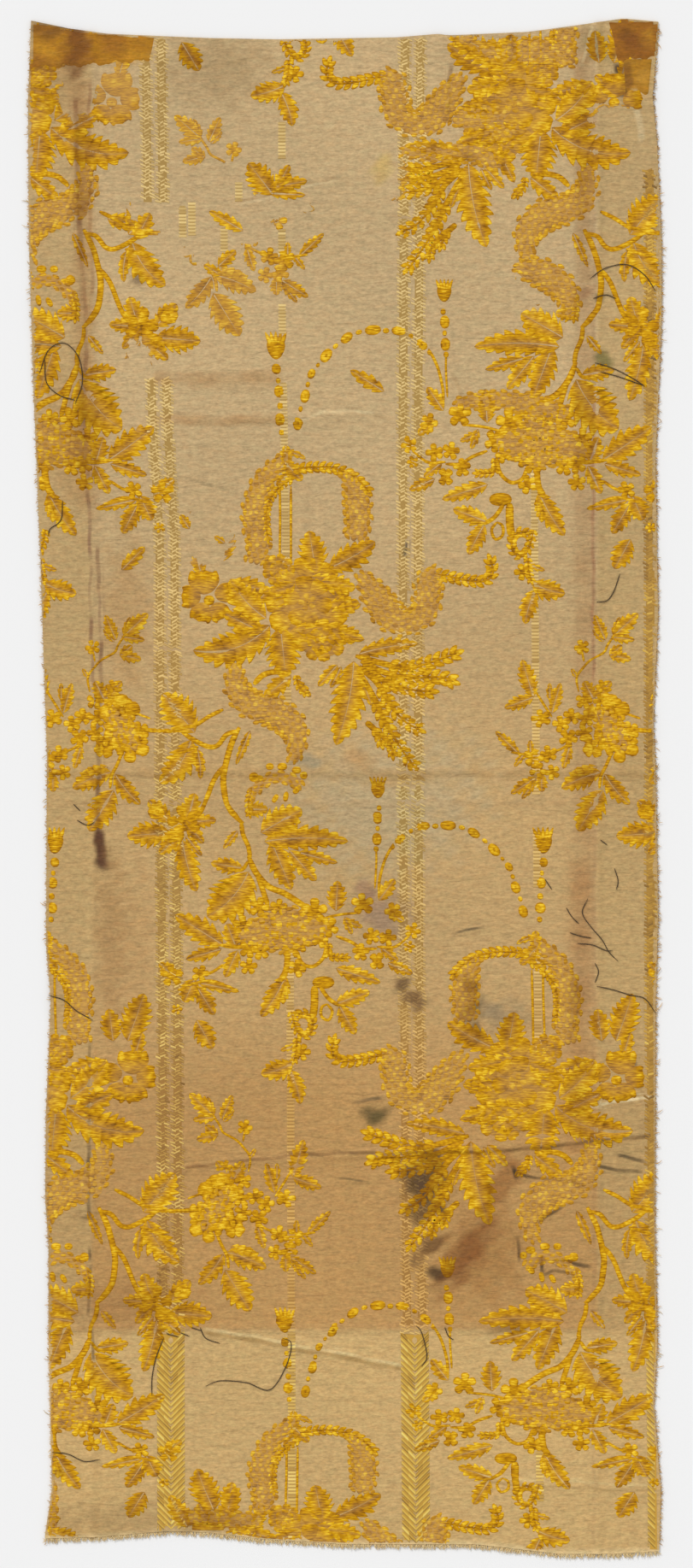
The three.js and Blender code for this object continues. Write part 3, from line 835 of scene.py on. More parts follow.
def weaveUnit():
    patches = []
    for row in nets:
        patches += net(row)
    for width, *points in stems:
        patches += stem(points, width)
    for row in roses:
        patches += rose(*row)
    for x, y, length, width, turn in fans:
        patches.append(fan(x, y, length, width, turn))
        for across in (-0.32, 0, 0.32):
            angle = math.radians(turn)
            alongX, alongY = 0.22 * length * math.cos(angle), 0.22 * length * math.sin(angle)
            patches.append(bunch(x + alongX - across * width * math.sin(angle), y + alongY + across * width
                                 * math.cos(angle), 0.55 * length, 0.32 * width, turn + 40 * across, 0.7, height=1.2))
    for row in petals:
        patches += petal(*row)
    for row in leaves:
        patches += leaf(*row)
    for row in blossoms:
        patches += blossom(*row)
    for leafLength, *points in laurels:
        patches += laurel(points, leafLength)
    for grain, *points in sprays:
        patches += spray(points, grain)
    for row in beads:
        patches += bead(*row)
    for row in buds:
        patches += bud(*row)
    return joinPatches(patches)


# How the unit repeats: half a step up or down it turns over about the stripe beside it
repeat = {
    "stripeX": (-99.0, 36.8),
    "across": 271.6,
    "along": 537.6,
}


def standing(patch, placing, margin=0.3):
    # Moves a copy of the unit to its place, lets it drift with the warp, and cuts it off at the raw edges
    mirror, shiftX, shiftY = placing
    x, y = patch["xy"].T
    x = x - drift(x, y)
    x = (mirror - x if mirror is not None else x) + shiftX
    y = crept(settled(y) + shiftY)
    x = x + drift(x, y)
    faces = patch["faces"] if mirror is None else patch["faces"][:, ::-1]
    kept = insideCloth(x, y, margin)
    faces = faces[kept[faces].all(axis=1)]
    if not len(faces):
        return None
    used, faces = np.unique(faces, return_inverse=True)
    faces = faces.reshape(-1, 4)
    return {key: patch[key][used] for key in ("lift", "tone", "bare")} | {
        "xy": np.stack([x, y], axis=1)[used], "faces": faces}


def addPiece(name, places, faces, material, attribute, values):
    # Points that cropping has left without a face are dropped
    used, faces = np.unique(faces, return_inverse=True)
    faces = faces.reshape(-1, 4)
    mesh = bpy.data.meshes.new(name)
    mesh.from_pydata(places[used] * mm, [], faces.tolist())
    mesh.polygons.foreach_set("use_smooth", [True] * len(mesh.polygons))
    values = np.concatenate([np.clip(values[used], 0, 1), np.ones((len(used), 1))], axis=1)
    mesh.attributes.new(attribute, "FLOAT_COLOR", "POINT").data.foreach_set("color", values.ravel())
    mesh.update()
    piece = bpy.data.objects.new(name, mesh)
    bpy.context.scene.collection.objects.link(piece)
    mesh.materials.append(material)
    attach(piece, "root")
    print(name, len(faces) * 2, "triangles")
    return piece


def buildPiece(name, patch, material):
    x, y = patch["xy"].T
    places = np.stack([x, y, clothTop(x, y) + patch["lift"]], axis=1)
    # The second channel is the share of soil and of painted fold shade
    values = np.stack([patch["tone"], soilAndFoldShadeAt(x, y)[1], patch["bare"]], axis=1)
    return addPiece(name, places, patch["faces"], material, "yarn", values)


# Worn places: x, y, half width, half height, how worn; past the half the gold floats are gone there
wornPlaces = (
    (-76, 319, 25, 25, 1), (-98, 322, 10, 16, 1), (-52, 318, 12, 14, 1), (-62, 338, 10, 10, 1),
    (-150, 388, 9, 13, 1), (14, 342, 17, 24, 1), (-116, 226, 9, 22, 1), (-128, 390, 14, 16, 0.4),
    (-60, 275, 30, 24, 0.25), (-80, 362, 24, 16, 0.25), (-80, 140, 16, 14, 1), (-33, 337, 17, 18, 1),
    (-111, 322, 9, 9, 1), (114, 281, 18, 13, 1), (-118, 130, 9, 12, 1), (152, 374, 13, 6, 1),
)

# Folds hide some of the figure: leaves and nets that stand free only once, charted where they lie on the cloth
onceLeaves = (
    (-92, 152, -87, 144, 6, 3, 0), (-73, 140, -67, 136, 4, 2, 0), (-54, 349, -40, 331, 15, 6, 0),
    (-31, 348, -39, 333, 8, 4, 0), (-21, 339, -42, 335, 9, 5, 0), (-22, 331, -42, 332, 6, 4, 0),
    (-109, 321, -117, 306, 11, 4, 0), (-117, 314, -133, 318, 10, 4, 0), (-76, 322, -57, 311, 8, 5, 0),
    (-61, 300, -71, 291, 8, 4, 0), (-79, 292, -69, 286, 6, 3, 0), (57, 422, 92, 402, 20, 7, -2),
    (71, 395, 92, 397, 8, 4, 0), (140, 398, 154, 386, 10, 4, 0), (95, 338, 84, 360, 9, 4, 0),
    (3, 233, 22, 221, 8, 4, 0), (-112, 134, -125, 121, 8, 4, 0), (-60, -393, -70, -414, 11, 5, 0),
    (-98, -397, -88, -415, 11, 5, 0), (-46, -402, -50, -416, 9, 4, 0),
)
onceNets = (
    ((74, 410, 6), (84, 411, 14), (97, 411, 17), (112, 411, 17), (128, 409, 14)),
    ((62, 374, 10), (74, 374, 20), (86, 372, 24), (94, 366, 16)),
    ((32, 356, 8), (48, 354, 10), (62, 355, 12), (76, 354, 14), (86, 347, 9)),
    ((96, 291, 6), (104, 289, 16), (113, 286, 19), (121, 280, 18), (126, 272, 15), (127, 263, 8)),
    ((62, 214, 7), (74, 216, 11), (92, 216, 12), (108, 212, 16), (124, 208, 12)),
    ((103, 208, 8), (108, 196, 16), (110, 180, 14)),
    ((-92, -408, 8), (-78, -410, 11), (-62, -411, 11), (-48, -412, 11)),
    ((-163, -390, 4), (-163.5, -402, 6), (-164, -417, 7)),
)


def wovenOnce():
    patches = []
    for row in onceNets:
        patches += net(row)
    for row in onceLeaves:
        patches += leaf(*row)
    return [cropped(patch, 0.3) for patch in patches]


def worn(patch):
    x, y = patch["xy"].T
    ragged = 0.09 * np.sin(x / 1.7 + y / 3.3) + 0.09 * np.sin(y / 0.9 - x / 5.1)
    wear = np.zeros(len(x))
    for wornX, wornY, halfWide, halfHigh, strength in wornPlaces:
        away = np.hypot((x - wornX) / halfWide, (y - wornY) / halfHigh) + ragged
        wear = np.maximum(wear, strength * smooth((1.3 - away) / 0.6))
    kept = (wear < 0.5)[patch["faces"]].all(axis=1)
    return patch | {"bare": np.maximum(patch["bare"], wear), "faces": patch["faces"][kept]}


# Old silk has slackened: small level crinkles run through the whole cloth

def addCrinkles(tree, place):
    slack = addNode(tree, "ShaderNodeMapping", {"Scale": (62, 230, 1)}, {"Vector": place})
    crinkles = addNode(tree, "ShaderNodeTexNoise", {"Scale": 1.0, "Detail": 3.0, "Roughness": 0.6, "Distortion": 0.5},
                       {"Vector": slack.outputs[0]})
    return addNode(tree, "ShaderNodeBump", {"Strength": 0.8, "Distance": 0.0015},
                   {"Height": crinkles.outputs["Fac"]}).outputs[0]


# Woven silk ground: fine level ribs, slightly streaky, matt

def makeGroundSilk():
    material, tree, shader = newMaterial("wovenSilkGround")
    place = addNode(tree, "ShaderNodeTexCoord").outputs["Object"]
    tint = addNode(tree, "ShaderNodeAttribute", {"attribute_name": "tint"}).outputs["Color"]
    stretched = addNode(tree, "ShaderNodeMapping", {"Scale": (420, 780, 1)}, {"Vector": place})
    streaks = addNode(tree, "ShaderNodeTexNoise", {"Scale": 1.0, "Detail": 3.0, "Roughness": 0.6},
                      {"Vector": stretched.outputs[0]})
    mottled = addNode(tree, "ShaderNodeMapping", {"Scale": (170, 380, 1)}, {"Vector": place})
    mottle = addNode(tree, "ShaderNodeTexNoise", {"Scale": 1.0, "Detail": 4.0, "Roughness": 0.65},
                     {"Vector": mottled.outputs[0]})
    both = addNode(tree, "ShaderNodeMath", {"operation": "ADD"},
                   {0: streaks.outputs["Fac"], 1: mottle.outputs["Fac"]})
    value = addNode(tree, "ShaderNodeMapRange", {"From Min": 0.75, "From Max": 1.25, "To Min": 0.77, "To Max": 1.15},
                    {"Value": both.outputs[0]})
    shaded = addNode(tree, "ShaderNodeHueSaturation", links={"Value": value.outputs[0], "Color": tint})
    hues = addRamp(tree, mottle.outputs["Color"], ((0.38, "#E4DCCC"), (0.5, "#DEDCD0"), (0.62, "#D6DACE")))
    cast = addNode(tree, "ShaderNodeMix", {"data_type": "RGBA", "blend_type": "MULTIPLY", 0: 0.75},
                   {6: shaded.outputs[0], 7: hues})
    raised = addNode(tree, "ShaderNodeHueSaturation", {"Value": 1.25}, {"Color": cast.outputs[2]})
    tree.links.new(raised.outputs[0], shader.inputs["Base Color"])
    bump = addNode(tree, "ShaderNodeBump", {"Strength": 0.3, "Distance": 0.0003},
                   {"Height": streaks.outputs["Fac"], "Normal": addCrinkles(tree, place)})
    tree.links.new(bump.outputs[0], shader.inputs["Normal"])
    shader.inputs["Roughness"].default_value = 0.62
    shader.inputs["Specular IOR Level"].default_value = 0.3
    return material


# Gold silk floats: bright along each bunch, with painted shade where it dips, worn back to the ground in places,
# darkened by soil and by painted fold shade

def makeGoldSilk():
    material, tree, shader = newMaterial("brocadedGoldSilk")
    place = addNode(tree, "ShaderNodeTexCoord").outputs["Object"]
    yarn = addNode(tree, "ShaderNodeAttribute", {"attribute_name": "yarn"}).outputs["Color"]
    parts = addNode(tree, "ShaderNodeSeparateColor", links={"Color": yarn})
    stretched = addNode(tree, "ShaderNodeMapping", {"Scale": (250, 1350, 1)}, {"Vector": place})
    flecks = addNode(tree, "ShaderNodeTexNoise", {"Scale": 1.0, "Detail": 1.0, "Roughness": 0.5},
                     {"Vector": stretched.outputs[0]})
    fleck = addNode(tree, "ShaderNodeMapRange", {"From Min": 0.32, "From Max": 0.68, "To Min": -0.27, "To Max": 0.23},
                    {"Value": flecks.outputs["Fac"]})
    broad = addNode(tree, "ShaderNodeMapping", {"Scale": (110, 220, 1)}, {"Vector": place})
    patchy = addNode(tree, "ShaderNodeTexNoise", {"Scale": 1.0, "Detail": 2.0, "Roughness": 0.5},
                     {"Vector": broad.outputs[0]})
    uneven = addNode(tree, "ShaderNodeMapRange", {"From Min": 0.3, "From Max": 0.7, "To Min": -0.16, "To Max": 0.14},
                     {"Value": patchy.outputs["Fac"]})
    flecked = addNode(tree, "ShaderNodeMath", {"operation": "ADD"}, {0: uneven.outputs[0], 1: fleck.outputs[0]})
    tone = addNode(tree, "ShaderNodeMath", {"operation": "ADD"}, {0: parts.outputs[0], 1: flecked.outputs[0]})
    gold = addRamp(tree, tone.outputs[0], ((0.0, "#6A4406"), (0.25, "#946008"), (0.5, "#BA8206"), (0.75, "#D6A00A"),
                                           (1.0, "#F2CA34")))
    worn = addNode(tree, "ShaderNodeMix", {"data_type": "RGBA", 7: (*toLinear("#BE9866"), 1)},
                   {0: parts.outputs[2], 6: gold})
    # Soil and the painted shade along the folds darken the gold where they cross it
    soilAndFoldShadeShare = addNode(tree, "ShaderNodeMath", {"operation": "MULTIPLY", 1: 0.75}, {0: parts.outputs[1]})
    soilAndFoldShaded = addNode(tree, "ShaderNodeMix", {"data_type": "RGBA", 7: (*toLinear("#70400A"), 1)},
                     {0: soilAndFoldShadeShare.outputs[0], 6: worn.outputs[2]})
    tree.links.new(soilAndFoldShaded.outputs[2], shader.inputs["Base Color"])
    bump = addNode(tree, "ShaderNodeBump", {"Strength": 0.3, "Distance": 0.0003},
                   {"Height": flecks.outputs["Fac"], "Normal": addCrinkles(tree, place)})
    tree.links.new(bump.outputs[0], shader.inputs["Normal"])
    shader.inputs["Roughness"].default_value = 0.6
    shader.inputs["Specular IOR Level"].default_value = 0.08
    return material


# The ground sheet

def axisLines(low, high, step, fineAt):
    places = list(np.linspace(low, high, int(round((high - low) / step)) + 1))
    for middle in fineAt:
        reach, fine = cloth["fineReach"], cloth["fineStep"]
        places = [p for p in places if abs(p - middle) > reach]
        places += list(np.arange(middle - reach, middle + reach + 0.01, fine))
    return np.array(sorted(places))


def makeGroundSheet(material):
    wide, long = cloth["halfWidth"], cloth["halfLength"]
    columns = axisLines(-wide, wide, cloth["columnStep"], (-cloth["seamX"], cloth["seamX"]))
    rows = axisLines(-long, long, cloth["rowStep"], (7.7, -204, -304, 206))
    for other in bpy.context.selected_objects:
        other.select_set(False)
    bpy.ops.mesh.primitive_grid_add(x_subdivisions=len(columns) - 1, y_subdivisions=len(rows) - 1, size=2)
    sheet = bpy.context.object
    sheet.name = "groundCloth"
    sheet.data.name = "groundCloth"
    mesh = sheet.data
    places = np.empty(len(mesh.vertices) * 3)
    mesh.vertices.foreach_get("co", places)
    places = places.reshape(-1, 3)
    x = columns[np.rint((places[:, 0] + 1) / 2 * (len(columns) - 1)).astype(int)]
    y = rows[np.rint((places[:, 1] + 1) / 2 * (len(rows) - 1)).astype(int)]
    reach = cloth["edgeReach"]
    nominalX, nominalY = x.copy(), y.copy()
    toLeft = np.clip((reach - (nominalX + wide)) / reach, 0, 1)
    toRight = np.clip((reach - (wide - nominalX)) / reach, 0, 1)
    x = nominalX + (np.interp(nominalY, *zip(*leftEdge)) + wide) * toLeft
    x += (np.interp(nominalY, *zip(*rightEdge)) - wide) * toRight
    toEnd = np.clip((reach - (nominalY + long)) / reach, 0, 1)
    toTop = np.clip((reach - (long - nominalY)) / reach, 0, 1)
    y = nominalY + (np.interp(x, *zip(*frayedEdge)) + long) * toEnd
    y += (np.interp(x, *zip(*turnedEdge)) - long) * toTop
    places = np.stack([x, y, clothTop(x, y)], axis=1) * mm
    mesh.vertices.foreach_set("co", places.ravel())
    mesh.update()
    solid = sheet.modifiers.new("thickness", "SOLIDIFY")
    solid.thickness = cloth["thickness"] * mm
    solid.offset = -1
    bpy.ops.object.modifier_apply(modifier="thickness")
    mesh = sheet.data
    mesh.polygons.foreach_set("use_smooth", [True] * len(mesh.polygons))
    mesh.set_sharp_from_angle(angle=math.radians(50))
    places = np.empty(len(mesh.vertices) * 3)
    mesh.vertices.foreach_get("co", places)
    places = places.reshape(-1, 3)
    places[:, 2] = np.maximum(places[:, 2], 0)
    mesh.vertices.foreach_set("co", places.ravel())
    tint = mesh.attributes.new("tint", "FLOAT_COLOR", "POINT")
    colour = groundTint(places[:, 0] / mm, places[:, 1] / mm)
    tint.data.foreach_set("color", np.concatenate([colour, np.ones((len(colour), 1))], axis=1).ravel())
    mesh.update()
    mesh.materials.append(material)
    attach(sheet, "root")
    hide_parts("silk_panel")
    print("ground sheet", len(mesh.polygons))
    return sheet


def cropped(patch, margin):
    kept = insideCloth(*patch["xy"].T, margin)
    return patch | {"faces": patch["faces"][kept[patch["faces"]].all(axis=1)]}


# At the upper corners the cloth's orange back shows: lowLeft, lowRight, highRight, highLeft, colour
turnedCorners = (
    ((-178, 401), (-109, 406), (-106, 421), (-178, 431), "#AC7404"),
    ((153, 405), (178, 409), (178, 431), (147, 431), "#965E06"),
    ((157, 388), (170, 388), (172, 407), (156, 407), "#A8740E"),
)


def makeTurnedCorners(material):
    patches, tints = [], []
    for lowLeft, lowRight, highRight, highLeft, tint in turnedCorners:
        u, v = np.meshgrid(np.linspace(0, 1, 40), np.linspace(0, 1, 16))
        low = np.multiply.outer(1 - u, lowLeft) + np.multiply.outer(u, lowRight)
        high = np.multiply.outer(1 - u, highLeft) + np.multiply.outer(u, highRight)
        xy = low * (1 - v)[..., None] + high * v[..., None]
        xy[..., 1] += (0.8 * np.sin(xy[..., 0] / 2.1) + 0.5 * np.sin(xy[..., 0] / 0.9)) * (1 - v)
        lift = np.where(np.minimum(np.minimum(u, 1 - u) * 40, v * 16) < 0.5, figure["rimLift"], 0.33)
        patches.append(cropped(makePatch(xy, lift, 0, gridFaces(16, 40)), 0.3))
        tints.append(np.tile(toLinear(tint), (u.size, 1)))
    corners = joinPatches(patches)
    x, y = corners["xy"].T
    # Soil and the painted shade along the folds lie over the back's colour
    soilAndFoldShade, strength = soilAndFoldShadeAt(x, y)
    shades = np.concatenate(tints) * (1 - strength[:, None]) + soilAndFoldShade * strength[:, None]
    places = np.stack([x, y, clothTop(x, y) + corners["lift"]], axis=1)
    return addPiece("turnedCorners", places, corners["faces"], material, "tint", shades)


# Narrow fold lines painted as shade and highlight, dirt and small spots, on their own fine strips; the rims take the
# ground's own colour

def makeMarks(material):
    patches = []
    for fromX, fromY, toX, toY, half, tint, most in lines:
        if half > 2.5:
            continue
        length = math.hypot(toX - fromX, toY - fromY)
        along = np.linspace(-0.5, length + 0.5, max(int(length / 2.2), 4))
        ahead = np.array([toX - fromX, toY - fromY]) / length
        aside = np.array([-ahead[1], ahead[0]])
        across = np.linspace(-1, 1, 9) * (1.5 * half + 0.7)
        middle = np.array([fromX, fromY]) + np.outer(along, ahead)
        xy = middle[:, None] + aside * across[None, :, None]
        lift = np.tile(0.05 * (1 - np.linspace(-1, 1, 9) ** 2) - 0.01, (len(along), 1))
        patches.append(makePatch(xy, lift, 0, gridFaces(len(along), 9)))
    for stainX, stainY, halfWide, halfHigh, turn, tint, most in stains:
        if min(halfWide, halfHigh) > 6.5:
            continue
        patches.append(bunch(stainX, stainY, 3.4 * halfWide, 3.4 * halfHigh, turn, 0, size=12, taper=0, height=0.2))
    marks = joinPatches([cropped(patch, 1) for patch in patches])
    x, y = marks["xy"].T
    places = np.stack([x, y, clothTop(x, y) + marks["lift"] + 0.02], axis=1)
    return addPiece("soilAndFoldShadeMarks", places, marks["faces"], material, "tint", groundTint(x, y))


# Warp stripes: two half bands of short slanting floats beside a bare line, and ladders of level rungs
stripes = {
    "centres": (-99.0, 36.8, 172.6),
    "band": (0.7, 7.6),
    "dashPitch": 2.05,
    "dashes": (1.8, 4.1, 6.4),
    "dashLength": 2.7,
    "dashSlope": 0.4,
    "chevronPitch": 3.3,
    "freshBelow": -307,
    "goneBetween": {-99.0: (228, 327), 36.8: (500, 500), 172.6: (345, 500)},
    "goldenFrom": 150,  # the stripe in the right hem has kept its gold
    "ladders": {
        -31.6: ((-430, -92), (36, 62), (120, 226), (254, 270), (298, 312), (352, 372)),
        105.2: ((-400, -372), (-150, -92), (-56, -26), (-4, 176)),
        -84.5: ((308, 325),),
        -79.5: ((309, 327),),
        -62.5: ((300, 313),),
        -54.5: ((328, 338),),
    },
    "rungPitch": 1.9,
    "rungWidth": 4.4,
    "fadedLow": np.array((0.6, 0.46, 0.1)),
    "fadedHigh": np.array((1.5, 1.53, 1.12)),
    "freshTints": ("#5E4412", "#94681A", "#C2942C", "#DEB84A", "#F6E27A"),
}


def dash(x, y, length, width, tone, bare, depth=0.55, slope=0.0):
    # A short float, bright along its middle, with painted shade below it and lighter painted shade above it
    u, v = np.meshgrid((-1, -0.8, 0.8, 1), (-1, 0, 1))
    shade = tone - depth * np.where(v < 0, 1, np.where(v > 0, 0.55, 0))
    lift = np.where((v == 0) & (np.abs(u) < 1), 0.15, 0.055)
    xy = np.stack([x + u * length / 2, y + v * width / 2 + slope * u * length / 2], axis=2)
    return makePatch(xy, lift, shade, gridFaces(3, 4), bare)


def makeStripes(material):
    patches = []

    def strip(middle, low, high, tone, fresh, span=(-426, 426)):
        heights = np.linspace(*span, int((span[1] - span[0]) / 2.6) + 1)
        across = np.linspace(low, high, 4) + middle
        x = np.tile(across, (len(heights), 1))
        y = np.tile(heights[:, None], (1, 4))
        xy = np.stack([x + drift(x, y), y], axis=2)
        patches.append(makePatch(xy, np.tile([-0.05, 0.05, 0.05, -0.05], (len(heights), 1)), tone,
                                 gridFaces(len(heights), 4), fresh))

    for centre in stripes["centres"]:
        low, high = stripes["band"]
        gap = stripes["goneBetween"][centre]
        hem = 0.9 if centre > stripes["goldenFrom"] else 0.0
        for side in (-1, 1):
            for span in ((stripes["freshBelow"], min(gap[0], 426)), (gap[1], 426)):
                if span[1] > span[0]:
                    strip(centre, side * low, side * high, 0.34 if hem else 0.12, hem, span)
            strip(centre, 0, side * 8, 0.5, 1, (-430, stripes["freshBelow"]))
            for y in np.arange(stripes["freshBelow"] + 1, 428, stripes["dashPitch"]):
                if gap[0] + random.normal(0, 2) < y < gap[1] + random.normal(0, 3):
                    continue
                strength = 0.84 + 0.08 * math.sin(y / 17.3 + centre) + 0.06 * math.sin(y / 3.9)
                golden = max(0.4 * float(smooth((40 - y) / 80)) if centre < -50 else 0.0, hem)
                for column, across in enumerate(stripes["dashes"]):
                    if random.random() < 0.12:
                        continue
                    x = centre + side * (across + random.normal(0, 0.25))
                    height = y + 0.5 * (column % 2) * stripes["dashPitch"] + random.normal(0, 0.2)
                    x += float(drift(np.array([x]), np.array([height]))[0])
                    uneven = random.normal(0, 0.2) * (1 - 0.6 * hem)
                    slope = stripes["dashSlope"] * (1 if column % 2 else -1) + random.normal(0, 0.1)
                    patches.append(dash(x, height, stripes["dashLength"] + random.normal(0, 0.4), 1.25,
                                        strength - 0.45 * golden + uneven, golden, 0.9 - 0.8 * hem, slope))
            for y in np.arange(-432, stripes["freshBelow"] - 2, stripes["chevronPitch"]):
                for across in (2.0, 5.8):
                    x = centre + side * across
                    x += float(drift(np.array([x]), np.array([y]))[0])
                    patches.append(dash(x, y + across - 3.9, 3.9, 2.6, 0.72 + random.normal(0, 0.08), 1, 0.56, side))
    for centre, spans in stripes["ladders"].items():
        wide = stripes["rungWidth"] / 2
        for span in spans:
            strip(centre, -wide, wide, 0.26, 0, span)
            for y in np.arange(*span, stripes["rungPitch"]):
                x = centre + float(drift(np.array([centre]), np.array([y]))[0])
                fresh = 0.5 if y < stripes["freshBelow"] else 0.05
                patches.append(dash(x, y, stripes["rungWidth"], 1.35, 0.78 + random.normal(0, 0.16), fresh))
    joined = joinPatches([cropped(patch, 0.4) for patch in patches])
    x, y = joined["xy"].T
    places = np.stack([x, y, clothTop(x, y) + joined["lift"]], axis=1)
    shades = stripeTint(x, y, joined["tone"], joined["bare"])
    addPiece("warpStripes", places, joined["faces"], material, "tint", shades)


def stripeTint(x, y, tone, fresh):
    # The faded stripe takes the colour of the ground round it, lighter or darker with each float's tone and its
    # painted shade; the fresh one is yellow silk
    depth = np.clip(tone, 0, 1)[:, None]
    faded = groundTint(x, y) * stripes["fadedLow"] * (1 - depth) + groundTint(x, y) * stripes["fadedHigh"] * depth
    steps = np.array([toLinear(tint) for tint in stripes["freshTints"]])
    bright = np.stack([np.interp(tone, np.linspace(0, 1, len(steps)), steps[:, k]) for k in range(3)], axis=1)
    return faded * (1 - fresh[:, None]) + bright * fresh[:, None]


# Threads: the frayed lower end, the fuzz of the cut sides and left-over sewing thread
threads = {
    "frayPitch": 0.24,
    "frayLength": (1.4, 3.6),
    "radius": 0.26,
    "sewingRadius": 0.27,
}


def tube(points, radius, sides=3):
    points = np.asarray(points, float)
    ahead = np.gradient(points, axis=0)
    ahead /= np.linalg.norm(ahead, axis=1)[:, None]
    aside = np.cross(ahead, (0, 0, 1))
    aside /= np.maximum(np.linalg.norm(aside, axis=1), 1e-6)[:, None]
    above = np.cross(aside, ahead)
    angle = np.arange(sides) * 2 * math.pi / sides + math.pi / 2
    ring = aside[:, None] * np.cos(angle)[None, :, None] + above[:, None] * np.sin(angle)[None, :, None]
    share = np.linspace(0, 1, len(points))
    thick = radius * np.clip(6 * np.minimum(share, 1 - share) + 0.4, 0, 1)
    places = (points[:, None] + ring * thick[:, None, None]).reshape(-1, 3)
    faces = [(k * sides + j, k * sides + (j + 1) % sides, (k + 1) * sides + (j + 1) % sides, (k + 1) * sides + j)
             for k in range(len(points) - 1) for j in range(sides)]
    return places, np.array(faces)


def joinTubes(name, tubes, tints, material):
    start = np.cumsum([0] + [len(places) for places, faces in tubes])
    places = np.concatenate([places for places, faces in tubes])
    faces = np.concatenate([faces + first for (_, faces), first in zip(tubes, start)])
    colours = np.concatenate([np.tile(tint, (len(ring), 1)) for (ring, _), tint in zip(tubes, tints)])
    return addPiece(name, places, faces, material, "tint", colours)


def looseEnd(x, y, turn, length, curl):
    path = []
    for k in range(4):
        path.append((x, y, 0.75 + 0.35 * math.sin(k + curl * 9) * k / 3))
        x += math.cos(turn) * length / 3
        y += math.sin(turn) * length / 3
        turn += curl
    return path


def makeFray(material):
    tubes, tints = [], []
    pale, straw, gold = (np.array(toLinear(tint)) for tint in ("#F2DAA4", "#E4C488", "#D29C34"))
    x = -167.0
    while x < 175:
        y = np.interp(x, *zip(*frayedEdge)) + 1
        length = random.uniform(*threads["frayLength"]) + 1
        tubes.append(tube(looseEnd(x, y, -math.pi / 2 + random.normal(0, 0.3), length, random.normal(0, 0.25)),
                          threads["radius"]))
        share = random.random()
        tints.append((pale if random.random() < 0.65 else straw) * (0.8 + 0.25 * share))
        x += threads["frayPitch"] * random.uniform(0.5, 1.5)
    for edge, side, pitch, reach in ((rightEdge, 1, 0.4, 1.1), (leftEdge, -1, 1.0, 0.9)):
        y = -424.0
        while y < 425:
            x = np.interp(y, *zip(*edge)) - side * 0.6
            length = reach * random.exponential(0.6) + 1.1
            turn = (0 if side > 0 else math.pi) + random.normal(0, 0.5)
            tubes.append(tube(looseEnd(x, y, turn, length, random.normal(0, 0.4)), threads["radius"] * 0.8))
            tints.append((gold if random.random() < 0.6 else straw) * random.uniform(0.7, 1.1))
            y += pitch * random.uniform(0.4, 1.6)
    joinTubes("frayedEnds", tubes, tints, material)


# Left-over sewing thread, dark brown: points x, y across the cloth
sewingEnds = (
    ((-35, -309), (-30, -312), (-33, -325), (-42, -338), (-55, -334), (-70, -333), (-78, -336)),
    ((-101.5, -309), (-106, -321), (-108, -332), (-108, -341)),
    ((-100, -306.5), (-93, -308.5)),
    ((-92, -306), (-87, -308)),
    ((-86, -303), (-80, -305)),
    ((-81, -303), (-78, -309), (-70, -312)),
    ((40, -302), (43, -306), (46, -319), (43, -325)),
    ((56, -303), (58, -308), (61, -310)),
    ((-171, 231), (-166, 244), (-157, 248), (-149, 240), (-147, 226), (-151, 214)),
    ((-168, 239), (-167, 226), (-160, 219), (-151, 216)),
    ((-158, 160), (-159, 149), (-165, 144), (-166, 140)),
    ((-166, -117), (-157, -120), (-150, -126), (-141, -131)),
    ((-164, -373), (-155, -374), (-146, -378), (-137, -377)),
    ((140, 237), (150, 234), (160, 229), (168, 224)),
    ((143, 232), (154, 229), (168, 224)),
    ((154, 119), (151, 110), (147, 104), (141, 103)),
    ((137, 284), (146, 290), (158, 292), (168, 286), (174, 277)),
    ((139, 273), (146, 275), (152, 273)),
    ((136, -63), (133, -71), (138, -79), (144, -86), (148, -93), (153, -98)),
    ((124, -68), (127, -73), (131, -77)),
    ((126, -82), (132, -84), (138, -85)),
    ((130, -88), (139, -89), (146, -92), (150, -92)),
    ((140, -99), (142, -104), (140, -110)),
    ((141, -112), (150, -114), (160, -117), (168, -119), (174, -127)),
    ((112, -52), (116, -58)),
    ((151, -46), (153, -53), (152, -58)),
    ((143, -30), (147, -33)),
    ((-152, -10), (-148, -14)),
    ((-150, -19), (-144, -22), (-140, -20)),
)


def makeSewingEnds(material):
    tubes = []
    for points in sewingEnds:
        path = smoothPath(points, 1.2)
        height = clothTop(path[:, 0], path[:, 1]) + 0.45 + 0.15 * np.sin(np.arange(len(path)) * 0.9)
        tubes.append(tube(np.column_stack([path, height]), threads["sewingRadius"], 5))
    joinTubes("sewingThreadEnds", tubes, [np.array(toLinear("#40301C"))] * len(tubes), material)


# Spun silk and thread ends: matt, in the colour each strand carries

def makeStrandSilk(name, roughness):
    material, tree, shader = newMaterial(name)
    tint = addNode(tree, "ShaderNodeAttribute", {"attribute_name": "tint"}).outputs["Color"]
    tree.links.new(tint, shader.inputs["Base Color"])
    shader.inputs["Roughness"].default_value = roughness
    return material


groundSilk = makeGroundSilk()
goldSilk = makeGoldSilk()
makeGroundSheet(groundSilk)
makeMarks(groundSilk)
makeTurnedCorners(groundSilk)
makeStripes(makeStrandSilk("warpStripeSilk", 0.55))
makeFray(makeStrandSilk("frayedSilkEnds", 0.7))
makeSewingEnds(makeStrandSilk("cottonSewingThread", 0.85))

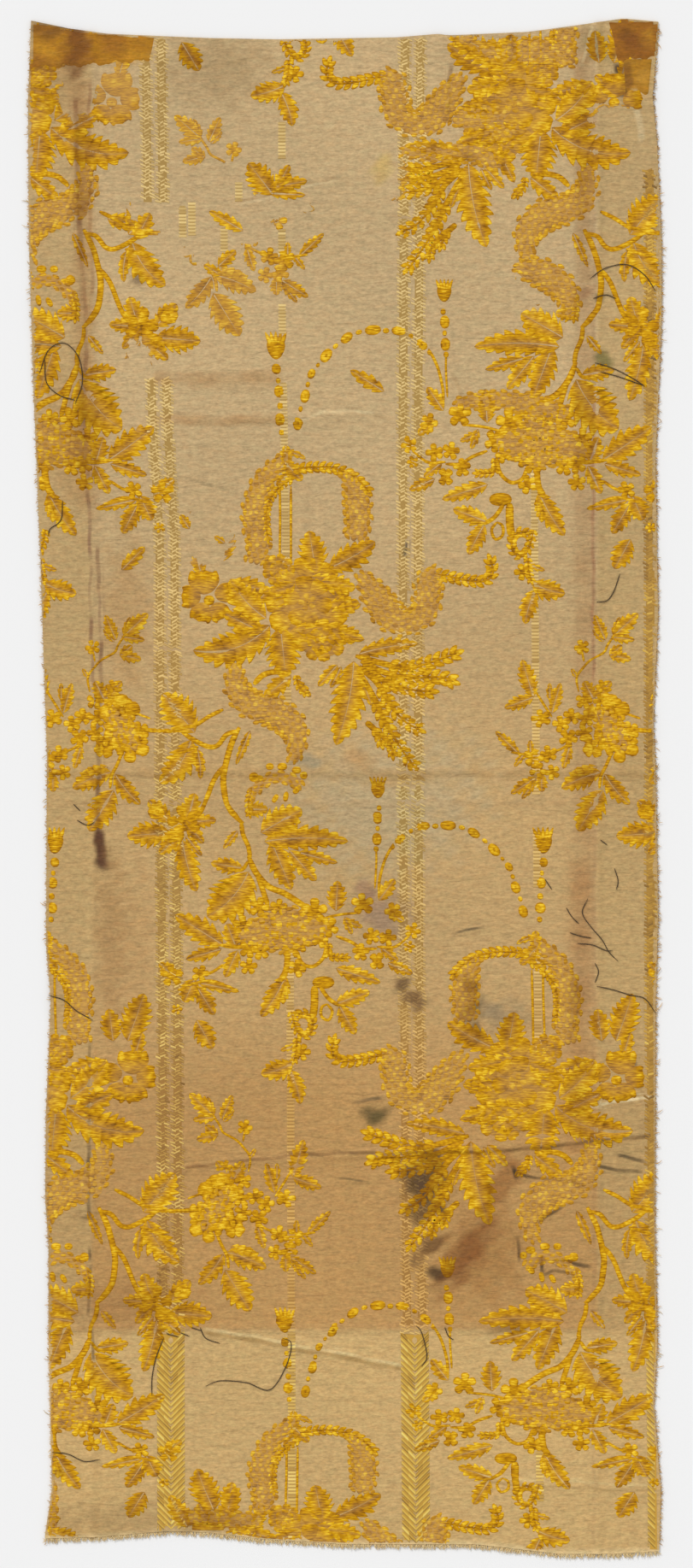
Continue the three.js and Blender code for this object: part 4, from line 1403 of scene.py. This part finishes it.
unit = weaveUnit()
print("unit woven", len(unit["faces"]))
left, right = repeat["stripeX"]
half = repeat["along"] / 2
columns = {
    "Middle": ((None, 0, 0), (None, 0, 2 * half), (None, 0, -2 * half)),
    "Right": ((2 * right, 0, half), (2 * right, 0, -half)),
    "Sides": ((2 * left, 0, half), (2 * left, 0, -half), (None, repeat["across"], 0),
              (None, repeat["across"], 2 * half), (None, repeat["across"], -2 * half)),
}
for name, placings in columns.items():
    copies = [copy for copy in (standing(unit, placing) for placing in placings) if copy is not None]
    figureHere = worn(joinPatches(copies))
    if name == "Sides":
        figureHere = joinPatches([figureHere] + wovenOnce())
    buildPiece("goldFigure" + name, figureHere, goldSilk)


# Floor, light and camera

def makeStage():
    for other in bpy.context.selected_objects:
        other.select_set(False)
    bpy.ops.mesh.primitive_plane_add(size=6, location=(0, 0, -0.0002))
    floor = bpy.context.object
    floor.name = "floor"
    material, tree, shader = newMaterial("palePaperFloor")
    shader.inputs["Base Color"].default_value = (*toLinear("#EFEFEF"), 1)
    shader.inputs["Roughness"].default_value = 0.9
    floor.data.materials.append(material)


lighting = {
    "worldStrength": 0.73,
    "keyPower": 1.42,
    "keyPlace": (-0.9, 1.5, 1.5),
    "keySpread": 14,
}


def makeLight():
    world = bpy.data.worlds.new("studio")
    bpy.context.scene.world = world
    world.use_nodes = True
    world.node_tree.nodes["Background"].inputs[0].default_value = (1, 1, 1, 1)
    world.node_tree.nodes["Background"].inputs[1].default_value = lighting["worldStrength"]
    key = bpy.data.lights.new("key", "SUN")
    key.energy = lighting["keyPower"]
    key.angle = math.radians(lighting["keySpread"])
    lamp = bpy.data.objects.new("key", key)
    bpy.context.scene.collection.objects.link(lamp)
    x, y, z = lighting["keyPlace"]
    lamp.rotation_euler = (math.atan2(math.hypot(x, y), z), 0, math.atan2(x, -y))


photo = {"width": 811, "height": 1835, "pixel": 0.4787 * mm, "distance": 3.0}


def makeCamera():
    data = bpy.data.cameras.new("camera")
    camera = bpy.data.objects.new("camera", data)
    bpy.context.scene.collection.objects.link(camera)
    frameHeight = photo["height"] * photo["pixel"]
    data.sensor_fit = "VERTICAL"
    data.sensor_height = 24
    data.lens = 24 * photo["distance"] / frameHeight
    camera.location = ((811 / 2 - 403.5) * photo["pixel"], (920 - 1835 / 2) * photo["pixel"], photo["distance"])
    bpy.context.scene.camera = camera


makeStage()
makeLight()
makeCamera()
bpy.context.scene.view_settings.view_transform = "Standard"
